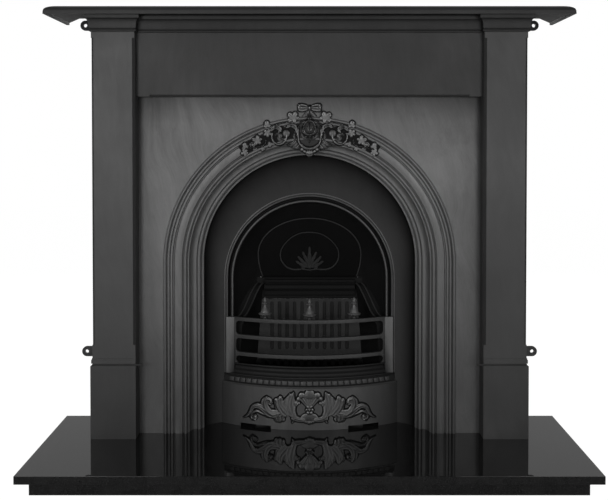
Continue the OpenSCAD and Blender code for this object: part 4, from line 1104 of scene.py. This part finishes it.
acanthus = Relief(190.0, 8.0, 109.0, 1.0, 384.0, on_apron)
acanthus.lay(
    frond([(0, 300), (0, 240), (0, 180), (0, 118)], [18, 32, 52, 56], 6.4, 4),
    boss(0, 118, 56, 7.0, 0.66),
    frond([(-8, 250), (-40, 200), (-78, 146)], [16, 34, 44], 6.4, 2),
    boss(-82, 128, 36, 7.0, 0.6),
    boss(-114, 166, 26, 6.4, 0.6),
    boss(0, 356, 92, 5.4, 0.72, 0.5),
    boss(-66, 384, 22, 5.2, 0.6),
    boss(-34, 400, 24, 5.4, 0.6),
    boss(0, 408, 26, 5.6, 0.6),
    rosette(0, 278, 46, 8.4),
    leaf([(-126, 214), (-162, 206), (-186, 240), (-190, 295), (-172, 345), (-128, 374), (-66, 384)],
         [26, 30, 34, 38, 38, 32, 26], 6.6, 2, 0.6, 0.1),
    curl(-128, 212, 31, 7.6, -1),
    frond([(-170, 350), (-196, 270), (-200, 190), (-164, 92)], [42, 62, 56, 5], 7.2, 2, 0.1),
    frond([(-190, 290), (-224, 200), (-202, 108)], [44, 42, 6], 6.8, 1, 0.1),
    frond([(-205, 300), (-244, 220), (-236, 146)], [42, 40, 8], 6.4, 1, 0.1),
    frond([(-210, 345), (-270, 280), (-310, 212), (-304, 146)], [42, 56, 52, 20], 6.9, 2, 0.1),
    boss(-306, 158, 28, 6.8, 0.6),
    frond([(-262, 300), (-318, 234), (-346, 176)], [36, 40, 24], 6.4, 1, 0.1),
    frond([(-276, 316), (-318, 276), (-346, 222)], [34, 34, 18], 6.0, 1, 0.1),
    frond([(-290, 304), (-334, 338), (-342, 382)], [34, 34, 24], 5.8),
    frond([(-268, 308), (-304, 345), (-308, 392)], [32, 30, 20], 6.2),
    frond([(-236, 318), (-268, 345), (-270, 392)], [30, 26, 12], 5.8),
    frond([(-250, 330), (-214, 316), (-174, 344), (-166, 380), (-182, 416)], [28, 30, 26, 20, 5], 6.0),
    frond([(-210, 325), (-290, 312), (-370, 316), (-430, 302)], [34, 38, 44, 44], 6.2, 2),
    frond([(-380, 332), (-436, 290), (-464, 230), (-462, 176), (-442, 138)], [36, 42, 38, 32, 8], 6.8),
    leaf([(-462, 200), (-446, 166), (-414, 170), (-400, 192)], [20, 24, 20, 17], 6.6, 1),
    curl(-404, 200, 27, 7.6, 1),
    leaf([(-460, 246), (-492, 210), (-488, 164)], [20, 18, 6], 5.8),
    frond([(-350, 330), (-416, 318), (-480, 266), (-535, 234), (-584, 246), (-612, 294), (-642, 334),
           (-684, 354)],
          [34, 40, 36, 30, 25, 21, 15, 4], 6.6, 2),
    leaf([(-430, 340), (-486, 316), (-545, 292), (-592, 312), (-606, 344), (-590, 372), (-562, 364)],
         [20, 20, 17, 16, 16, 17, 16], 5.8, 1),
    curl(-568, 354, 28, 7.2, -1),
)
acanthus.cut(boss(-98, 280, 44, 1.0, 1.0, 1.36))
acanthus.cut(boss(-222, 370, 32, 1.0, 1.0, 1.0))
acanthus.bed(3, 0.5, 1.0)
cast("acanthus_casting", acanthus, "cover_ornament", "cover", "insert_iron",
     lambda across, up: on_apron(across, up) - SUNK, "burnished_relief_iron")

# ---- bow, shield, vine leaves and scrolls at the crown of the arch

def on_face(across, up):
    return np.full_like(across, FACE_FORWARD)


def behind_crown(across, up):
    """Where the face and its moulding lie behind the ornament, a little inside the iron."""
    out = np.hypot(across, up - ARCH_UP) - ARCH_R
    radii, levels = zip(*sorted((r, forward) for r, forward in SECTION if forward > -45))
    return FACE_FORWARD + np.interp(out, radii, levels, left=-44.0, right=0.0) - SUNK


crown = Relief(196.0, 728.0, 880.0, 1.0, 96.0, on_face)
BED_LOW, BED_HIGH, BED_FROM, BED_TO, BED_TALL = 49, 74, 6, 31, 4.8


def garland_bed(x, y):
    """The sunk ground between the vine leaves, along the arch's band."""
    out = np.hypot(crown.across, crown.up - ARCH_UP) - ARCH_R
    turn = np.degrees(np.arctan2(np.abs(crown.across), crown.up - ARCH_UP))
    return np.where((out > BED_LOW) & (out < BED_HIGH) & (turn > BED_FROM) & (turn < BED_TO), BED_TALL, 0.0)


# Painted shade on the garland's sunk ground and on a broad low patch beside the scrolls.
crown.lay(garland_bed, boss(-312, 400, 100, 5.2, 0.9, 0.9), painted_shade=1.0)
crown.lay(
    leaf([(-16, 122), (-48, 120), (-80, 119)], [14, 34, 41], 9.6, 1, 0.62, 0.2),
    boss(-104, 94, 16, 9.2, 0.6),
    boss(-104, 144, 16, 9.2, 0.6),
    boss(0, 122, 18, 12.0, 0.5, 1.5),
    leaf([(-10, 150), (-26, 178), (-60, 210)], [12, 16, 8], 7.4, 1),
    leaf([(0, 140), (0, 178), (0, 210)], [10, 15, 7], 8.6, 1),
    leaf([(0, 196), (0, 236), (0, 262)], [6, 17, 12], 11.6, 1),
    vine_leaf(-162, 224, 76, 8.6, 140),
    leaf([(-16, 226), (-82, 265), (-144, 314)], [6, 7, 6], 10.5),
    leaf([(-112, 318), (-118, 400), (-110, 468), (-82, 514), (-38, 540), (0, 546)],
         [8, 9, 11, 13, 13, 13], 11.0),
    leaf([(-84, 498), (-44, 528), (0, 538)], [8, 10, 12], 12.5),
    leaf([(0, 252), (-38, 270), (-60, 322), (-44, 378), (0, 400)], [8, 8, 8, 8, 8], 11.0),
    leaf([(0, 272), (0, 312), (0, 344)], [4, 12, 20], 11.4, 1),
    boss(-30, 318, 9, 10.0),
    boss(0, 376, 10, 11.0),
    leaf([(-84, 384), (-66, 420), (-30, 440), (0, 446)], [8, 15, 13, 8], 9.4, 1),
    boss(-38, 416, 10, 10.6),
    boss(0, 420, 9, 10.6),
    boss(0, 470, 9, 9.4, 0.35, 1.6),
    leaf([(-143, 352), (-160, 408), (-148, 448), (-150, 494)], [6, 13, 12, 3], 9.0, 1),
    leaf([(-128, 404), (-132, 352), (-160, 312), (-200, 300), (-226, 320)], [8, 16, 25, 24, 14], 12.0, 2),
    leaf([(-236, 372), (-238, 432), (-270, 482), (-322, 496), (-368, 470), (-388, 425), (-380, 380)],
         [12, 12, 12, 11, 11, 10, 8], 9.4),
    leaf([(-250, 440), (-286, 452), (-314, 436), (-300, 408), (-330, 388), (-352, 400)],
         [16, 19, 17, 18, 15, 8], 9.0, 1),
    leaf([(-392, 352), (-366, 324), (-328, 324), (-302, 346), (-318, 374)], [13, 24, 27, 23, 10], 11.0, 2),
    leaf([(-384, 336), (-342, 296), (-282, 277), (-228, 272)], [6, 7, 7, 6], 9.0),
    leaf([(-142, 468), (-180, 498), (-224, 502)], [20, 21, 6], 8.4, 1),
    leaf([(-128, 490), (-160, 518), (-192, 520)], [17, 17, 5], 8.4, 1),
    leaf([(-108, 500), (-130, 530), (-144, 544)], [17, 15, 5], 8.4, 1),
    boss(-78, 548, 20, 8.6, 0.6),
    boss(-52, 568, 18, 9.0, 0.6),
    leaf([(0, 548), (0, 578)], [40, 42], 9.6, 3),
    boss(0, 580, 43, 9.4, 0.6, 0.5),
    vine_leaf(-436, 300, 50, 9.5, 100, 3),
    vine_leaf(-434, 384, 56, 10.0, 60),
    vine_leaf(-532, 456, 64, 9.5, 165),
    curl(-586, 504, 32, 8.6, 1, 1.8),
    vine_leaf(-662, 520, 46, 8.8, 110, 3),
    vine_leaf(-662, 578, 50, 9.0, 200),
    leaf([(-447, 452), (-456, 488), (-490, 514), (-532, 520), (-585, 540), (-632, 532)],
         [5, 6, 7, 6, 5, 4], 9.0),
)
# Painted shade on the low shield, its middle and the low boss beside it, and a little on the small leaves
# and stems.
crown.lay(
    leaf([(0, 250), (0, 320), (0, 420), (0, 520)], [52, 112, 118, 66], 5.2, 0, 0.92),
    painted_shade=0.75,
)
crown.lay(
    leaf([(-80, 316), (-70, 362), (-38, 396), (0, 408)], [6, 6, 6, 6], 8.6),
    vine_leaf(-405, 492, 34, 7.4, 250, 3),
    vine_leaf(-482, 538, 30, 7.4, 260),
    vine_leaf(-560, 540, 26, 7.0, 230, 3),
    painted_shade=0.1,
)
crown.lay(boss(0, 326, 58, 7.4, 0.8, 1.25), painted_shade=0.8)
crown.lay(boss(-238, 384, 40, 9.4, 0.72), painted_shade=0.35)
crown.bed(3, 4.9, 1.0)
cast("crown_casting", crown, "crown_ornament", "frame", "insert_iron", behind_crown, "burnished_relief_iron")

# ---- oval bead and palmette on the damper

def on_damper(across, up):
    """The front of the leaning damper plate."""
    along = (up - HINGE_UP) / math.cos(LEAN)
    return HINGE_FORWARD + PLATE_FORWARD / math.cos(LEAN) + along * math.sin(LEAN)


palmette = Relief(92.0, 378.0, 532.0, 0.8, 140.0, on_damper)
palmette.lay(
    leaf([(0, 952), (-110, 968), (-214, 1030), (-292, 1130), (-296, 1230), (-246, 1306), (-182, 1336),
          (-110, 1340)],
         [8, 8, 8, 8, 9, 10, 11, 9], 4.2),
    leaf([(-130, 1336), (-60, 1338), (0, 1346)], [8, 8, 8], 3.6),
    leaf([(0, 1318), (0, 1230), (0, 1108)], [12, 27, 12], 4.8, 2, notches=4),
    leaf([(-6, 1310), (-34, 1236), (-70, 1160)], [9, 22, 12], 4.4, 2, notches=4),
    leaf([(-12, 1314), (-66, 1262), (-116, 1208)], [9, 21, 12], 4.2, 2, notches=4),
    leaf([(-18, 1318), (-84, 1290), (-138, 1254)], [8, 18, 11], 3.8, 2, notches=3),
    curl(-66, 1316, 22, 3.8, -1),
    boss(0, 1316, 20, 5.0),
    painted_shade=0.35,
)
# The palmette gets the darker copy of the iron and painted shade, as it lies in the firebox.
cast("palmette_casting", palmette, "damper_ornament", "damper", "firebox_iron",
     lambda across, up: on_damper(across, up) - 0.6, "shade_painted_iron")

# ---- studio

def soft_box(name, where, towards, side, watts):
    """A soft square light aimed at a point."""
    light = bpy.data.lights.new(name, "AREA")
    light.shape = "RECTANGLE"
    light.size = side
    light.size_y = side
    light.energy = watts
    obj = bpy.data.objects.new(name, light)
    obj.location = where
    obj.rotation_euler = (Vector(towards) - Vector(where)).to_track_quat("-Z", "Y").to_euler()
    bpy.context.scene.collection.objects.link(obj)


soft_box("left_softbox", (-1.25, -2.6, 1.05), (0.0, 0.1, 0.65), 0.9, 40)
soft_box("right_softbox", (1.25, -2.6, 1.05), (0.0, 0.1, 0.65), 0.9, 30)
soft_box("back_softbox", (0.0, 2.7, 0.85), (0.0, 0.2, 0.6), 0.7, 26)


class Sky(Finish):
    """The studio around the part, as nodes of the world."""

    def __init__(self, world):
        world.use_nodes = True
        self.tree = world.node_tree
        self.tree.nodes.clear()
        self.place = self.node("ShaderNodeTexCoord", {}, {}, "Generated")

    def light(self, strength):
        return self.node("ShaderNodeBackground", {}, {"Color": (1.0, 1.0, 1.0, 1.0), "Strength": strength})

    def ray(self, kind):
        return self.node("ShaderNodeLightPath", {}, {}, "Is " + kind + " Ray")


PAPER_GLOW, FILL_GLOW, ROOM_GLOW, FRONT_GLOW, BEHIND_GLOW = 1.0, 0.26, 0.05, 0.20, 0.43
studio = bpy.data.worlds.new("studio")
bpy.context.scene.world = studio
sky = Sky(studio)
ahead = sky.node("ShaderNodeSeparateXYZ", {}, {0: sky.place}, 1)
behind = ahead.within(-0.05, 0.15)
front = (0.0 - ahead).within(0.35, 1.0)
room = ROOM_GLOW + front * FRONT_GLOW
mirrored = sky.light(room * (1.0 - behind) + behind * BEHIND_GLOW)
paper = sky.light(PAPER_GLOW)
fill = sky.light(FILL_GLOW)
straight = sky.ray("Camera") + sky.ray("Transmission")
seen = sky.node("ShaderNodeMixShader", {}, {0: sky.ray("Glossy"), 1: fill, 2: mirrored})
seen = sky.node("ShaderNodeMixShader", {}, {0: straight, 1: seen, 2: paper})
sky.node("ShaderNodeOutputWorld", {}, {"Surface": seen})

FLOOR_SIDE, FLOOR_GLOW, FLOOR_SHARE = 14.0, 1.12, 0.86
bpy.ops.mesh.primitive_plane_add(size=FLOOR_SIDE, location=(0, 0, 0))
floor = bpy.context.object
floor.name = "floor"
floor.select_set(False)
paper_floor = Finish("white_floor")
paper_floor.set(base_color=grey(0.92), roughness=0.9)
glow = paper_floor.node("ShaderNodeEmission", {}, {"Color": grey(1.0), "Strength": FLOOR_GLOW})
seen_floor = paper_floor.node("ShaderNodeLightPath", {}, {}, "Is Camera Ray") * FLOOR_SHARE
body = Signal(paper_floor, paper_floor.shader.outputs[0])
lit = paper_floor.node("ShaderNodeMixShader", {}, {0: seen_floor, 1: body, 2: glow})
paper_floor.tree.links.new(lit.socket, paper_floor.tree.nodes["Material Output"].inputs["Surface"])
floor.data.materials.append(paper_floor.material)

# ---- camera

PITCH, DISTANCE, EYE_UP, EYE_ACROSS = 1.0, 2087.25, 778.0, 0.97
SENSOR, FOCAL_LENGTH, SHIFT_ACROSS, SHIFT_UP = 36.0, 44.006, -0.0097, -0.1593
lens = bpy.data.cameras.new("camera")
lens.sensor_width = SENSOR
lens.lens = FOCAL_LENGTH
lens.shift_x = SHIFT_ACROSS
lens.shift_y = SHIFT_UP
camera = bpy.data.objects.new("camera", lens)
camera.location = at(EYE_ACROSS, DISTANCE, EYE_UP)
camera.rotation_euler = (math.radians(90 - PITCH), 0, 0)
bpy.context.scene.collection.objects.link(camera)
bpy.context.scene.camera = camera

bpy.context.scene.view_settings.view_transform = "Standard"
